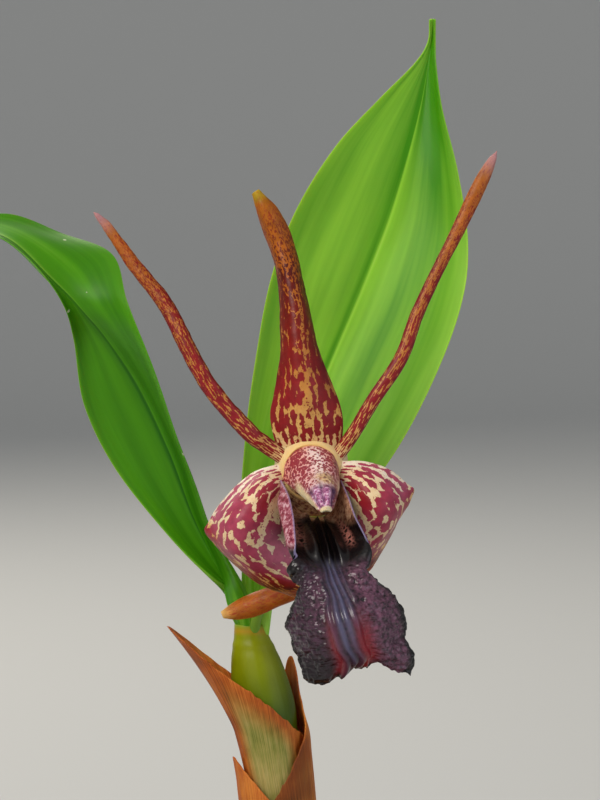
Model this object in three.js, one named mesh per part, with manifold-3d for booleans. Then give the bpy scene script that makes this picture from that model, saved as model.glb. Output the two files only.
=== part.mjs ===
// A potted orchid in flower: one two-leaved pseudobulb on a creeping rhizome, with a
// spidery speckled flower and a blackish lip, in bark chips in a plain clay pot.
// Millimetres, +Z up. The origin is the middle of the pot's underside, and the flower
// faces -Y. Everything above the rhizome is drawn in the shoot's own frame: X to the
// right, Y away from the viewer and Z up the picture, from the pseudobulb's foot.

import * as THREE from "three";
import { mergeVertices } from "three/addons/utils/BufferGeometryUtils.js";
import Module from "manifold-3d";

const wasm = await Module();
wasm.setup();

// Driving dimensions
const POT_HEIGHT = 72;
const POT_FOOT_RADIUS = 31;
const POT_RIM_RADIUS = 47.5;
const POT_WALL = 4;
const BARK_LEVEL = 62;
const SHOOT_FOOT = [6, 4, 80];
const SHOOT_LEAN = THREE.MathUtils.degToRad(-6);
const BULB_LENGTH = 45;
const LEAF_THICKNESS = 0.8;
const SHEATH_THICKNESS = 0.6;
const SEAT_GAP = 0.3;

// Shared shape tools
const TINY_STEP = 1e-3;
const WELD_DISTANCE = 1e-3;

// A smooth value over stations [place, value], by cubic pieces with shared slopes.
function stations(list) {
  const slope = list.map((_, i) => {
    const a = list[Math.max(i - 1, 0)];
    const b = list[Math.min(i + 1, list.length - 1)];
    return (b[1] - a[1]) / (b[0] - a[0]);
  });
  return (x) => {
    let i = 0;
    while (i < list.length - 2 && x > list[i + 1][0]) i += 1;
    const width = list[i + 1][0] - list[i][0];
    const t = THREE.MathUtils.clamp((x - list[i][0]) / width, 0, 1);
    const a = 2 * t ** 3 - 3 * t ** 2 + 1;
    const b = t ** 3 - 2 * t ** 2 + t;
    const c = t ** 3 - t ** 2;
    return a * list[i][1] + b * width * slope[i] + (1 - a) * list[i + 1][1] + c * width * slope[i + 1];
  };
}

// The Catmull-Rom point at t, from 0 to 1, along a list of points.
function along(points, t) {
  const at = t * (points.length - 1);
  const i = Math.min(Math.floor(at), points.length - 2);
  const f = at - i;
  const p = points[i];
  const q = points[i + 1];
  const before = i > 0 ? points[i - 1] : p.clone().multiplyScalar(2).sub(q);
  const after = i + 2 < points.length ? points[i + 2] : q.clone().multiplyScalar(2).sub(p);
  const weights = [
    (-f + 2 * f ** 2 - f ** 3) / 2,
    (2 - 5 * f ** 2 + 3 * f ** 3) / 2,
    (f + 4 * f ** 2 - 3 * f ** 3) / 2,
    (-(f ** 2) + f ** 3) / 2,
  ];
  const sum = new THREE.Vector3();
  [before, p, q, after].forEach((point, k) => sum.addScaledVector(point, weights[k]));
  return sum;
}

// A surface through a net of points: rows run along it, and each row runs across it.
function net(rows) {
  const points = rows.map((row) => row.map((p) => new THREE.Vector3(...p)));
  return (u, v) => along(points.map((row) => along(row, (v + 1) / 2)), u);
}

// The unit normal of a surface, on the side that faces the viewer when u runs up.
function normalOf(surface, u, v) {
  const up = surface(Math.min(u + TINY_STEP, 1), v).sub(surface(Math.max(u - TINY_STEP, 0), v));
  const across = surface(u, Math.min(v + TINY_STEP, 1)).sub(surface(u, Math.max(v - TINY_STEP, -1)));
  return across.cross(up).normalize();
}

// The direction of a line of points at t.
function heading(list, t) {
  return along(list, Math.min(t + TINY_STEP, 1)).sub(along(list, Math.max(t - TINY_STEP, 0))).normalize();
}

function meshGeometry(points, triangles) {
  const places = points.flatMap((p) => p.toArray());
  const geometry = new THREE.BufferGeometry();
  geometry.setAttribute("position", new THREE.Float32BufferAttribute(places, 3));
  geometry.setIndex(triangles.flat());
  return geometry;
}

// A thin closed solid about a surface. thickness(u, v) is its full thickness, and
// relief(u, v) lifts its front face. Both faces are split into triangles alike.
function blade({ surface, thickness, relief = () => 0, long, wide, flip = false }) {
  const front = [];
  const back = [];
  for (let i = 0; i <= long; i += 1) {
    for (let j = 0; j <= wide; j += 1) {
      const u = i / long;
      const v = (2 * j) / wide - 1;
      const middle = surface(u, v);
      const normal = normalOf(surface, u, v).multiplyScalar(flip ? -1 : 1);
      const half = thickness(u, v) / 2;
      front.push(middle.clone().addScaledVector(normal, half + relief(u, v)));
      back.push(middle.clone().addScaledVector(normal, -half));
    }
  }
  const count = front.length;
  const at = (i, j) => i * (wide + 1) + j;
  const triangles = [];
  for (let i = 0; i < long; i += 1) {
    for (let j = 0; j < wide; j += 1) {
      const corners = [at(i, j), at(i, j + 1), at(i + 1, j + 1), at(i + 1, j)];
      for (const [a, b, c] of [[0, 1, 2], [0, 2, 3]]) {
        triangles.push([corners[a], corners[b], corners[c]]);
        triangles.push([corners[a] + count, corners[c] + count, corners[b] + count]);
      }
    }
  }
  const rim = [];
  for (let j = 0; j < wide; j += 1) rim.push(at(0, j));
  for (let i = 0; i < long; i += 1) rim.push(at(i, wide));
  for (let j = wide; j > 0; j -= 1) rim.push(at(long, j));
  for (let i = long; i > 0; i -= 1) rim.push(at(i, 0));
  rim.forEach((a, k) => {
    const b = rim[(k + 1) % rim.length];
    triangles.push([b, a, a + count], [b, a + count, b + count]);
  });
  const outward = flip ? triangles.map(([a, b, c]) => [a, c, b]) : triangles;
  return meshGeometry([...front, ...back], outward);
}

// A thickness that is full along the middle and blunt at both edges.
function blunt(full, edge = 0.6) {
  return (u, v) => full(u) * (edge + (1 - edge) * Math.sqrt(1 - v * v));
}

// A closed body through rings of points, each ring counter-clockwise seen from its far end.
function loft(rings) {
  const sides = rings[0].length;
  const middle = (ring) => ring.reduce((sum, p) => sum.add(p), new THREE.Vector3()).divideScalar(sides);
  const points = [...rings.flat(), middle(rings[0]), middle(rings[rings.length - 1])];
  const first = rings.length * sides;
  const triangles = [];
  for (let k = 0; k < sides; k += 1) {
    const next = (k + 1) % sides;
    for (let i = 0; i < rings.length - 1; i += 1) {
      const low = i * sides;
      const high = low + sides;
      triangles.push([low + k, low + next, high + next], [low + k, high + next, high + k]);
    }
    triangles.push([first, next, k]);
    triangles.push([first + 1, first - sides + k, first - sides + next]);
  }
  return meshGeometry(points, triangles);
}

// A tapering tube along points, with oval sections: half-sizes across and through,
// where across lies at right angles to the given reference direction.
function stem({ points, across, through = across, reference, steps, sides }) {
  const list = points.map((p) => new THREE.Vector3(...p));
  const facing = new THREE.Vector3(...reference);
  const rings = [];
  for (let i = 0; i <= steps; i += 1) {
    const t = i / steps;
    const ahead = heading(list, t);
    const side = facing.clone().cross(ahead).normalize();
    const face = ahead.clone().cross(side);
    const centre = along(list, t);
    rings.push(
      Array.from({ length: sides }, (_, k) => {
        const angle = (2 * Math.PI * (k + 0.5)) / sides;
        return centre
          .clone()
          .addScaledVector(side, across(t) * Math.cos(angle))
          .addScaledVector(face, through(t) * Math.sin(angle));
      }),
    );
  }
  return loft(rings);
}

// Closed geometry as a solid for joining and cutting, and back again.
function solid(geometry) {
  const bare = new THREE.BufferGeometry().setAttribute("position", geometry.getAttribute("position"));
  if (geometry.index) bare.setIndex(geometry.index);
  const merged = mergeVertices(bare, WELD_DISTANCE);
  return new wasm.Manifold(
    new wasm.Mesh({
      numProp: 3,
      vertProperties: merged.attributes.position.array,
      triVerts: new Uint32Array(merged.index.array),
    }),
  );
}

function geometryOf(manifold) {
  const mesh = manifold.getMesh();
  const geometry = new THREE.BufferGeometry();
  geometry.setAttribute("position", new THREE.Float32BufferAttribute(mesh.vertProperties, 3));
  geometry.setIndex(new THREE.BufferAttribute(mesh.triVerts, 1));
  return geometry;
}

// Seeded draws, the same each time: a linear congruential generator.
function draws(seed) {
  let state = seed;
  return () => {
    state = (state * 1103515245 + 12345) % 2147483648;
    return state / 2147483648;
  };
}

// Materials

function finish(hex, roughness) {
  return new THREE.MeshStandardMaterial({ color: hex, roughness, metalness: 0 });
}

const clay = finish(0xb5663f, 0.9);
const barkBrown = finish(0x6b4329, 0.95);
const rhizomeBrown = finish(0x7a4a26, 0.8);
const bulbGreen = finish(0x5f8a12, 0.45);
const sheathOrange = finish(0xb46a2c, 0.6);
const leafGreen = finish(0x4f9a1c, 0.4);
const stalkGreen = finish(0x7d9a3a, 0.5);
const sepalSpeckle = finish(0x9c3a34, 0.5);
const petalRust = finish(0xa84a2a, 0.5);
const columnPink = finish(0xc98a94, 0.45);
const lipBlack = finish(0x2a1a24, 0.3);

const plant = new THREE.Group();
const shoot = new THREE.Group();
shoot.position.set(...SHOOT_FOOT);
shoot.rotation.x = SHOOT_LEAN;
plant.add(shoot);

function addPiece(group, name, geometry, material) {
  const mesh = new THREE.Mesh(geometry, material);
  mesh.name = name;
  group.add(mesh);
}

// Pot: a plain tapered clay pot with a rolled band at the rim and four drain holes
const POT_FLOOR = 5;
const BAND_HEIGHT = 15;
const BAND_STEP = 2;
const POT_SEGMENTS = 40;
const DRAIN_RADIUS = 4;
const DRAIN_CIRCLE = 18;
const DRAIN_COUNT = 4;

const bandFoot = POT_HEIGHT - BAND_HEIGHT;
const wallTopRadius = POT_RIM_RADIUS - BAND_STEP;
const innerTopRadius = POT_RIM_RADIUS - BAND_STEP - POT_WALL;
const innerFootRadius = POT_FOOT_RADIUS - POT_WALL + 1;

// The pot's inner radius at a height.
function potInside(z) {
  return THREE.MathUtils.mapLinear(z, POT_FLOOR, POT_HEIGHT, innerFootRadius, innerTopRadius + 1);
}

function lathe(profile, segments) {
  const points = profile.map(([r, z]) => new THREE.Vector2(r, z));
  return new THREE.LatheGeometry(points, segments).rotateX(Math.PI / 2);
}

function makePot() {
  const body = lathe(
    [
      [0, 0],
      [POT_FOOT_RADIUS - 1, 0],
      [POT_FOOT_RADIUS, 1],
      [wallTopRadius, bandFoot - 1],
      [POT_RIM_RADIUS - 0.4, bandFoot],
      [POT_RIM_RADIUS, bandFoot + 1.2],
      [POT_RIM_RADIUS + 0.5, POT_HEIGHT - 1.4],
      [POT_RIM_RADIUS - 0.8, POT_HEIGHT],
      [potInside(POT_HEIGHT) + 1, POT_HEIGHT],
      [potInside(POT_HEIGHT - 1.2), POT_HEIGHT - 1.2],
      [potInside(POT_FLOOR), POT_FLOOR],
      [0, POT_FLOOR],
    ],
    POT_SEGMENTS,
  );
  let pot = solid(body);
  for (let k = 0; k < DRAIN_COUNT; k += 1) {
    const angle = ((k + 0.5) * 2 * Math.PI) / DRAIN_COUNT;
    const drill = new THREE.CylinderGeometry(DRAIN_RADIUS, DRAIN_RADIUS, 3 * POT_FLOOR, 12);
    drill.rotateX(Math.PI / 2);
    drill.translate(DRAIN_CIRCLE * Math.cos(angle), DRAIN_CIRCLE * Math.sin(angle), POT_FLOOR / 2);
    pot = pot.subtract(solid(drill));
  }
  return geometryOf(pot);
}

addPiece(plant, "pot", makePot(), clay);

// Rhizome: a stout creeping stem in stepped scales, with roots down into the bark
const RHIZOME_PATH = [
  [-28.5, 21, 64],
  [-21, 17.6, 66.2],
  [-12, 12.4, 67.4],
  [-2, 7, 68.8],
  [4.4, 4.2, 73.2],
  [6, 4, 79.4],
];
const RHIZOME_RADIUS = 2.6;
const SCALE_LIP = 0.9;
const SCALE_COUNT = 11;
const SCALE_SIDES = 12;
const ROOT_RADIUS = 0.9;
const ROOT_TAPER = 0.35;
const ROOT_DEPTH = 9;
// Each root: where it leaves the rhizome, its compass angle in degrees and its reach.
const ROOTS = [
  [0.12, 205, 7],
  [0.24, 80, 9],
  [0.36, 250, 14],
  [0.48, 95, 13],
  [0.58, 285, 16],
  [0.68, 20, 15],
  [0.74, 225, 14],
];

// A path made longer at its ends by the given lengths.
function lengthened(path, atStart, atEnd) {
  const list = path.map((p) => new THREE.Vector3(...p));
  const last = list.length - 1;
  const back = list[0].clone().sub(list[1]).setLength(atStart);
  const ahead = list[last].clone().sub(list[last - 1]).setLength(atEnd);
  list[0].add(back);
  list[last].add(ahead);
  return list.map((p) => p.toArray());
}

// Rings [place, radius]: each scale widens towards its own mouth, then steps in.
function scaleRings() {
  const rings = [];
  for (let k = 0; k < SCALE_COUNT; k += 1) {
    rings.push([(k + 0.04) / SCALE_COUNT, RHIZOME_RADIUS]);
    rings.push([(k + 0.96) / SCALE_COUNT, RHIZOME_RADIUS + SCALE_LIP]);
  }
  return rings;
}

// Rings for a plain hole that clears the scales.
function plainRings() {
  return Array.from({ length: SCALE_COUNT + 1 }, (_, k) => [k / SCALE_COUNT, RHIZOME_RADIUS + SCALE_LIP]);
}

// The rhizome and its roots on the given rings, all of it larger by extra.
function makeRhizome(ringList, extra) {
  const axis = RHIZOME_PATH.map((p) => new THREE.Vector3(...p));
  const list = lengthened(RHIZOME_PATH, extra, extra).map((p) => new THREE.Vector3(...p));
  const rings = ringList.map(([t, radius]) => {
    const ahead = heading(list, t);
    const side = new THREE.Vector3(0.5, 1, 0).cross(ahead).normalize();
    const face = ahead.clone().cross(side);
    return Array.from({ length: SCALE_SIDES }, (_, k) => {
      const angle = (2 * Math.PI * k) / SCALE_SIDES;
      return along(list, t)
        .addScaledVector(side, (radius + extra) * Math.cos(angle))
        .addScaledVector(face, (radius + extra) * Math.sin(angle));
    });
  });
  let body = solid(loft(rings));
  for (const [t, compass, reach] of ROOTS) {
    const start = along(axis, t);
    const angle = THREE.MathUtils.degToRad(compass);
    const out = (share, z) => [
      start.x + reach * share * Math.cos(angle),
      start.y + reach * share * Math.sin(angle),
      z,
    ];
    const path = [
      out(0, start.z),
      out(0.35, start.z - 0.3),
      out(0.72, BARK_LEVEL + 1.2),
      out(1, BARK_LEVEL - ROOT_DEPTH),
    ];
    const root = stem({
      points: lengthened(path, 0, extra),
      across: (share) => ROOT_RADIUS * (1 - ROOT_TAPER * share) + extra,
      reference: [Math.sin(angle), -Math.cos(angle), 0],
      steps: 7,
      sides: 6,
    });
    body = body.add(solid(root));
  }
  return body;
}

addPiece(plant, "rhizome", geometryOf(makeRhizome(scaleRings(), 0)), rhizomeBrown);

// Old pseudobulb: shorter, leafless and furrowed, on the rhizome behind
const OLD_BULB_FOOT = [-23, 18.6, 69.6];
const OLD_BULB_LENGTH = 24;
const OLD_BULB_SIDES = 16;
const OLD_BULB_STEPS = 10;
const OLD_BULB_LEAN = [-0.08, 0.05];
const FURROW_DEPTH = 0.12;
const oldBulbRadius = stations([[0, 2.6], [4, 4.4], [10, 5.2], [16, 4.6], [21, 2.9], [24, 1.5]]);

function makeOldBulb() {
  const [leanX, leanY] = OLD_BULB_LEAN;
  const rings = [];
  for (let i = 0; i <= OLD_BULB_STEPS; i += 1) {
    const share = i / OLD_BULB_STEPS;
    const z = OLD_BULB_LENGTH * share;
    const ring = [];
    for (let k = 0; k < OLD_BULB_SIDES; k += 1) {
      const angle = (2 * Math.PI * k) / OLD_BULB_SIDES;
      const radius = oldBulbRadius(z) * (1 - (k % 2) * FURROW_DEPTH * Math.sin(Math.PI * share));
      const x = leanX * z + radius * Math.cos(angle);
      ring.push(new THREE.Vector3(x, leanY * z + radius * Math.sin(angle), z));
    }
    rings.push(ring);
  }
  return loft(rings).translate(...OLD_BULB_FOOT);
}

addPiece(plant, "pseudobulb_old", makeOldBulb(), bulbGreen);

// Bark: a filled body with rough chips standing out of its top
const CHIP_COUNT = 46;
const CHIP_SEED = 20;
const CHIP_LEAST = [9, 7, 5];
const CHIP_SPREAD = [5, 3, 2.5];
const CHIP_MARGIN = 8.5;
const CHIP_TILT = 0.25;
const CHIP_SINK = 1.8;
const CHIP_STAGGER = 1.2;
const GOLDEN_TURN = Math.PI * (3 - Math.sqrt(5));
const FILL_DEPTH = 2.5;
const FILL_SEGMENTS = 32;

// A rough block: a box whose corners are drawn in unevenly, by a rule of its number k.
function makeChip(k, size) {
  const chip = new THREE.BoxGeometry(...size);
  const corners = chip.attributes.position;
  for (let i = 0; i < corners.count; i += 1) {
    const wave = Math.sin(7.3 * k + 2.1 * corners.getX(i) + 1.3 * corners.getY(i));
    const pull = 0.72 + 0.28 * Math.abs(wave);
    corners.setXYZ(i, corners.getX(i) * pull, corners.getY(i) * pull, corners.getZ(i));
  }
  return chip;
}

function makeBark() {
  const inside = (z) => potInside(z) - SEAT_GAP;
  const bottom = POT_FLOOR + SEAT_GAP;
  const top = BARK_LEVEL - FILL_DEPTH;
  const profile = [[0, bottom], [inside(POT_FLOOR), bottom], [inside(top) - 0.6, top], [0, top]];
  const draw = draws(CHIP_SEED);
  const chips = [];
  for (let k = 0; k < CHIP_COUNT; k += 1) {
    const reach = (potInside(BARK_LEVEL) - CHIP_MARGIN) * Math.sqrt((k + 0.5) / CHIP_COUNT);
    const around = k * GOLDEN_TURN;
    const chip = makeChip(k, CHIP_LEAST.map((least, axis) => least + CHIP_SPREAD[axis] * draw()));
    chip.rotateX(CHIP_TILT * (2 * draw() - 1));
    chip.rotateY(CHIP_TILT * (2 * draw() - 1));
    chip.rotateZ(Math.PI * draw());
    const level = BARK_LEVEL - CHIP_SINK + CHIP_STAGGER * draw();
    chip.translate(reach * Math.cos(around), reach * Math.sin(around), level);
    chips.push(solid(chip));
  }
  const filled = wasm.Manifold.union([solid(lathe(profile, FILL_SEGMENTS)), ...chips]);
  const bodies = filled.subtract(makeRhizome(plainRings(), SEAT_GAP)).decompose();
  return geometryOf(bodies.reduce((largest, body) => (body.volume() > largest.volume() ? body : largest)));
}

addPiece(plant, "potting_bark", makeBark(), barkBrown);

// Pseudobulb: a spindle that leans to the left as it rises, up to the collar of its neck
const BULB_SIDES = 24;
const bulbRadius = stations([
  [0, 2.9], [8, 3.1], [20, 3.2], [24, 3.45], [28, 3.75], [32, 4.15],
  [35, 4.3], [38, 4.0], [41.5, 3.3], [43.6, 2.6], [45, 2.5],
]);

// The pseudobulb's axis at a height: it leans ever more to the left and a little forward.
function bulbAxis(z) {
  return new THREE.Vector3(-0.113 * z - 0.0009 * z * z, -2 * (z / BULB_LENGTH) ** 3, z);
}

function aroundBulb(z, radius, angle) {
  return bulbAxis(z).add(new THREE.Vector3(radius * Math.cos(angle), radius * Math.sin(angle), 0));
}

function makeBulb() {
  const heights = [0.2, 8, 20, 24, 28, 30.5, 33, 35.5, 38, 40.5, 42.5, 43.7, BULB_LENGTH];
  return loft(
    heights.map((z) => {
      const angles = Array.from({ length: BULB_SIDES }, (_, k) => (2 * Math.PI * k) / BULB_SIDES);
      return angles.map((angle) => aroundBulb(z, bulbRadius(z), angle));
    }),
  );
}

addPiece(shoot, "pseudobulb", makeBulb(), bulbGreen);

// Sheaths: papery cups round the pseudobulb, each with a slanting mouth and a free tip.
// Lower ones stand outside higher ones, with their tips to the left and right in turn.
const SHEATHS = [
  {
    name: "sheath_upper",
    foot: 21,
    facing: 180,
    mouth: { low: 22, rise: 19.5, power: 0.5, tip: 4.5, tipPower: 14 },
    inside: stations([[21, 3.5], [24, 3.72], [28, 4.02], [32, 4.42], [35, 4.58], [46, 4.6]]),
    flare: { from: 31, reach: 6.7, power: 1.4 },
  },
  {
    name: "sheath_middle",
    foot: 9,
    facing: 38,
    mouth: { low: 20, rise: 12.5, power: 1.7, tip: 9, tipPower: 30 },
    inside: stations([
      [9, 3.4], [15, 3.65], [20, 4.4], [24, 4.75], [28, 5.05], [31, 5.3], [34, 5.05], [42, 5.35],
    ]),
    flare: { from: 36, reach: 0.6, power: 1.2 },
  },
  {
    name: "sheath_lower",
    foot: 1,
    facing: 190,
    mouth: { low: 13, rise: 13.5, power: 1.2, tip: 1, tipPower: 20 },
    inside: stations([[0, 3.2], [8, 4.2], [15, 4.75], [20, 5.4], [26, 5.25], [29, 5.2]]),
    flare: { from: 24, reach: 0.2, power: 1 },
  },
];
const SHEATH_COLUMNS = 24;
const SHEATH_ROWS = 7;
const COLUMN_CROWDING = 0.72;

// A point of a sheath's inner face. s runs round from -1 to 1 with its tip at 0, where
// the columns lie closer, and t runs from its foot to its mouth.
function sheathPoint({ foot, facing, mouth, inside, flare }, s, t, outside) {
  const turn = Math.PI * s - COLUMN_CROWDING * Math.sin(Math.PI * s);
  const nearness = (1 + Math.cos(turn)) / 2;
  const top = mouth.low + mouth.rise * nearness ** mouth.power + mouth.tip * nearness ** mouth.tipPower;
  const z = foot + (top - foot) * t;
  const highest = mouth.low + mouth.rise + mouth.tip;
  const lift = THREE.MathUtils.clamp((z - flare.from) / (highest - flare.from), 0, 1);
  const radius = inside(z) + flare.reach * lift ** flare.power * nearness ** 2;
  return aroundBulb(z, radius + outside, THREE.MathUtils.degToRad(facing) + turn);
}

function makeSheath(sheath) {
  const points = [];
  for (const outside of [SHEATH_THICKNESS, 0]) {
    for (let i = 0; i <= SHEATH_ROWS; i += 1) {
      for (let k = 0; k < SHEATH_COLUMNS; k += 1) {
        points.push(sheathPoint(sheath, (2 * k) / SHEATH_COLUMNS - 1, i / SHEATH_ROWS, outside));
      }
    }
  }
  const layer = (SHEATH_ROWS + 1) * SHEATH_COLUMNS;
  const triangles = [];
  for (let k = 0; k < SHEATH_COLUMNS; k += 1) {
    const next = (k + 1) % SHEATH_COLUMNS;
    for (let i = 0; i < SHEATH_ROWS; i += 1) {
      const a = i * SHEATH_COLUMNS + k;
      const b = i * SHEATH_COLUMNS + next;
      const c = b + SHEATH_COLUMNS;
      const d = a + SHEATH_COLUMNS;
      triangles.push([a, b, c], [a, c, d]);
      triangles.push([a + layer, c + layer, b + layer], [a + layer, d + layer, c + layer]);
    }
    triangles.push([next, k, k + layer], [next, k + layer, next + layer]);
    const top = SHEATH_ROWS * SHEATH_COLUMNS;
    triangles.push([top + k, top + next, top + next + layer]);
    triangles.push([top + k, top + next + layer, top + k + layer]);
  }
  return meshGeometry(points, triangles);
}

for (const sheath of SHEATHS) addPiece(shoot, sheath.name, makeSheath(sheath), sheathOrange);

// Leaves: each net runs from the petiole's foot to the tip, and each row from the left
// margin over the midrib to the right margin. The midrib lies in a shallow channel.
const RIGHT_LEAF = [
  [[-6.5, -0.1, 45.4], [-5.6, -0.6, 45.4], [-5.1, -1.5, 45.4], [-5.0, -2.3, 45.4], [-5.2, -3.0, 45.4]],
  [[-7.8, -0.8, 49.5], [-6.6, 0.5, 49.4], [-5.1, 0.7, 49.3], [-4.2, -0.4, 49.2], [-3.8, -2.2, 49.2]],
  [[-8, -4, 55.4], [-7.1, -1.5, 55.2], [-5.4, 0, 55], [-3.7, -1.2, 54.2], [-2, -3.4, 53.8]],
  [[-8.3, -5, 63.2], [-6.1, -1, 63.3], [-3.3, 1, 63.1], [0.3, -2, 61.3], [3.9, -6, 59.5]],
  [[-7.6, -5, 73.8], [-4.1, -1, 73.2], [0, 1.5, 72.3], [5.9, -2, 70.2], [11.9, -6, 68.6]],
  [[-6.1, -4, 84.8], [-1.1, 0, 84], [4.3, 2, 83], [11.3, -1, 81.1], [18.3, -5, 79.7]],
  [[-4, -3, 95.5], [2.3, 0, 94.6], [8.8, 2.5, 93.7], [16, 0, 91.9], [22.6, -4, 91]],
  [[-0.4, -2, 105.2], [6, 1, 104.3], [12.6, 3, 103.4], [18.5, 1.5, 101.6], [23.8, -2, 99.9]],
  [[5.1, 0, 114.1], [10.1, 2, 113.4], [15.4, 3.5, 112.6], [19.1, 2.5, 111.4], [22.4, 0, 110.4]],
  [[11.4, 3, 121.1], [14.3, 4, 120.8], [17.3, 5, 120.3], [18.9, 4.5, 120], [20.3, 3, 119.7]],
  [[16.5, 5, 126.3], [17.5, 5.6, 126.3], [18.4, 6, 126.3], [18.9, 5.6, 126.1], [19.5, 5, 125.9]],
  [[18.4, 5.5, 129.4], [18.7, 5.8, 129.5], [18.9, 6, 129.6], [19.1, 5.8, 129.5], [19.4, 5.5, 129.4]],
  [[18.5, 4, 132.4], [18.8, 4.1, 132.5], [19, 4.2, 132.5], [19.2, 4.1, 132.5], [19.4, 4, 132.4]],
];
const LEFT_LEAF = [
  [[-7.5, -0.2, 45.4], [-8.4, -0.8, 45.4], [-8.8, -1.9, 45.4], [-8.7, -2.8, 45.4], [-8.2, -3.5, 45.4]],
  [[-8.6, -1.5, 49.5], [-9.5, -2.2, 49.2], [-9.8, -3.3, 49.2], [-9.2, -4.5, 49.5], [-8.1, -5.2, 49.9]],
  [[-12.7, -6, 53.2], [-12, -4.6, 53.4], [-11, -4.2, 53.9], [-10, -6.5, 54], [-9.4, -9.5, 54]],
  [[-19, -7, 59.6], [-17, -6, 60.3], [-14.6, -6, 61.4], [-13.1, -9.5, 60.8], [-12.3, -13.5, 59.8]],
  [[-26, -8, 68.6], [-22.2, -8, 69.3], [-17.9, -9, 70.3], [-15.8, -12.5, 68.7], [-14.6, -17, 66.6]],
  [[-30.1, -10, 77.3], [-26.4, -10.5, 78.3], [-22.2, -12, 79.7], [-19.3, -16, 77.2], [-17.3, -20, 74.2]],
  [[-31.3, -14, 86.3], [-29.2, -13.5, 86.6], [-26.8, -15, 87], [-23.3, -18.5, 85.8], [-20.6, -22, 83.9]],
  [[-32.5, -20, 91.4], [-31.7, -18, 91.3], [-30.5, -17, 91.1], [-26.8, -18, 91.5], [-23.6, -20, 91.6]],
  [[-35.7, -22, 96], [-35.2, -19, 95.5], [-34.4, -17, 94.9], [-30.1, -15, 96.8], [-26, -14, 98.2]],
  [[-40.3, -20, 99.9], [-40.1, -17.5, 99.8], [-39.5, -15, 99.7], [-36.4, -12, 100.8], [-33.2, -9, 101.3]],
  [[-44.3, -16, 101.1], [-44.2, -14.5, 101.3], [-43.8, -13, 101.5], [-42.3, -10.5, 102.8], [-40.8, -9, 104]],
  [[-48.1, -11, 101.8], [-48.1, -10.8, 102], [-48, -10.6, 102.2], [-47.9, -10.4, 102.4], [-47.8, -10, 102.7]],
];

function makeLeaf(rows) {
  const full = stations([[0, 1.1], [0.12, 1.3], [0.3, LEAF_THICKNESS], [0.9, LEAF_THICKNESS], [1, 0.7]]);
  return blade({ surface: net(rows), thickness: blunt(full, 0.75), long: 26, wide: 8 });
}

addPiece(shoot, "leaf_right", makeLeaf(RIGHT_LEAF), leafGreen);
addPiece(shoot, "leaf_left", makeLeaf(LEFT_LEAF), leafGreen);

// Flower stalk and ovary: from the neck, behind the flower, to the cup that carries it
const STALK_PATH = [
  [-6.7, -3.3, 45.5], [-5.7, -4.4, 48.9], [-1.6, -6.4, 53.2], [1.7, -10.2, 59],
  [2.3, -14.5, 64.4], [2.0, -18.2, 68.1], [1.6, -20.6, 69.7], [1.6, -22.4, 69.7],
];

const stalkHalf = stations([[0, 0.85], [0.3, 1.1], [0.55, 1.5], [0.75, 1.9], [0.88, 2.8], [1, 5.2]]);

function makeStalk() {
  return stem({
    points: STALK_PATH,
    across: stalkHalf,
    through: (t) => stalkHalf(t) * (1 - 0.1 * t),
    reference: [0, 0.3, 1],
    steps: 15,
    sides: 12,
  });
}

addPiece(shoot, "ovary_stalk", makeStalk(), stalkGreen);

// Column with its foot: a speckled hood that leans out over the lip
const COLUMN_PATH = [
  [1.4, -22.7, 69.6], [1.4, -24.4, 69.5], [1.6, -27.8, 67.9], [2.0, -31.6, 65.6], [2.4, -35.2, 63.4],
];
const FOOT_PATH = [[1.5, -25.4, 69], [1.7, -25.2, 66.9], [2, -24.4, 64.8], [2.2, -22.7, 63.5]];

function makeColumn() {
  const hood = stem({
    points: COLUMN_PATH,
    across: stations([[0, 3.2], [0.15, 3.9], [0.35, 3.9], [0.6, 2.9], [0.8, 2.0], [0.94, 1.4], [1, 0.6]]),
    through: stations([[0, 2.2], [0.25, 2.3], [0.6, 1.9], [0.85, 1.8], [0.95, 1.4], [1, 0.8]]),
    reference: [0, -1, 1],
    steps: 10,
    sides: 12,
  });
  const foot = stem({
    points: FOOT_PATH,
    across: stations([[0, 1.6], [1, 1.2]]),
    reference: [0, -1, -1],
    steps: 4,
    sides: 8,
  });
  return geometryOf(solid(hood).add(solid(foot)));
}

addPiece(shoot, "column", makeColumn(), columnPink);

// Sepals: broad at the foot and drawn out into thick tails
const DORSAL_SEPAL = [
  [[-2.6, -22.95, 72.6], [1.4, -23.2, 72.7], [5.4, -22.95, 72.6]],
  [[-4, -24, 75.2], [0.8, -26, 74.9], [5.8, -24, 74.9]],
  [[-3.7, -24, 78], [0.5, -27, 77.7], [5.3, -24, 77.7]],
  [[-3.1, -24.5, 81], [0.3, -27, 80.7], [4.1, -24.5, 80.8]],
  [[-2.6, -24.5, 84.1], [-0.1, -27, 83.8], [2.7, -24.5, 84]],
  [[-2.6, -24, 87.5], [-0.4, -26.5, 87.3], [1.8, -24, 87.4]],
  [[-2.7, -23, 91.6], [-0.8, -25.5, 91.4], [1.2, -23, 91.6]],
  [[-3.3, -22.5, 96.5], [-1.8, -24.5, 96.1], [0, -22.5, 96.6]],
  [[-4.6, -22.5, 100.3], [-3.1, -24, 100.2], [-1.4, -22.5, 100.6]],
  [[-5.6, -23.5, 103.2], [-4.5, -24.5, 103.5], [-3.1, -23.5, 103.9]],
  [[-6.5, -24.3, 105.9], [-6, -24.6, 106.3], [-5.6, -24.3, 106.5]],
];
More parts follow.
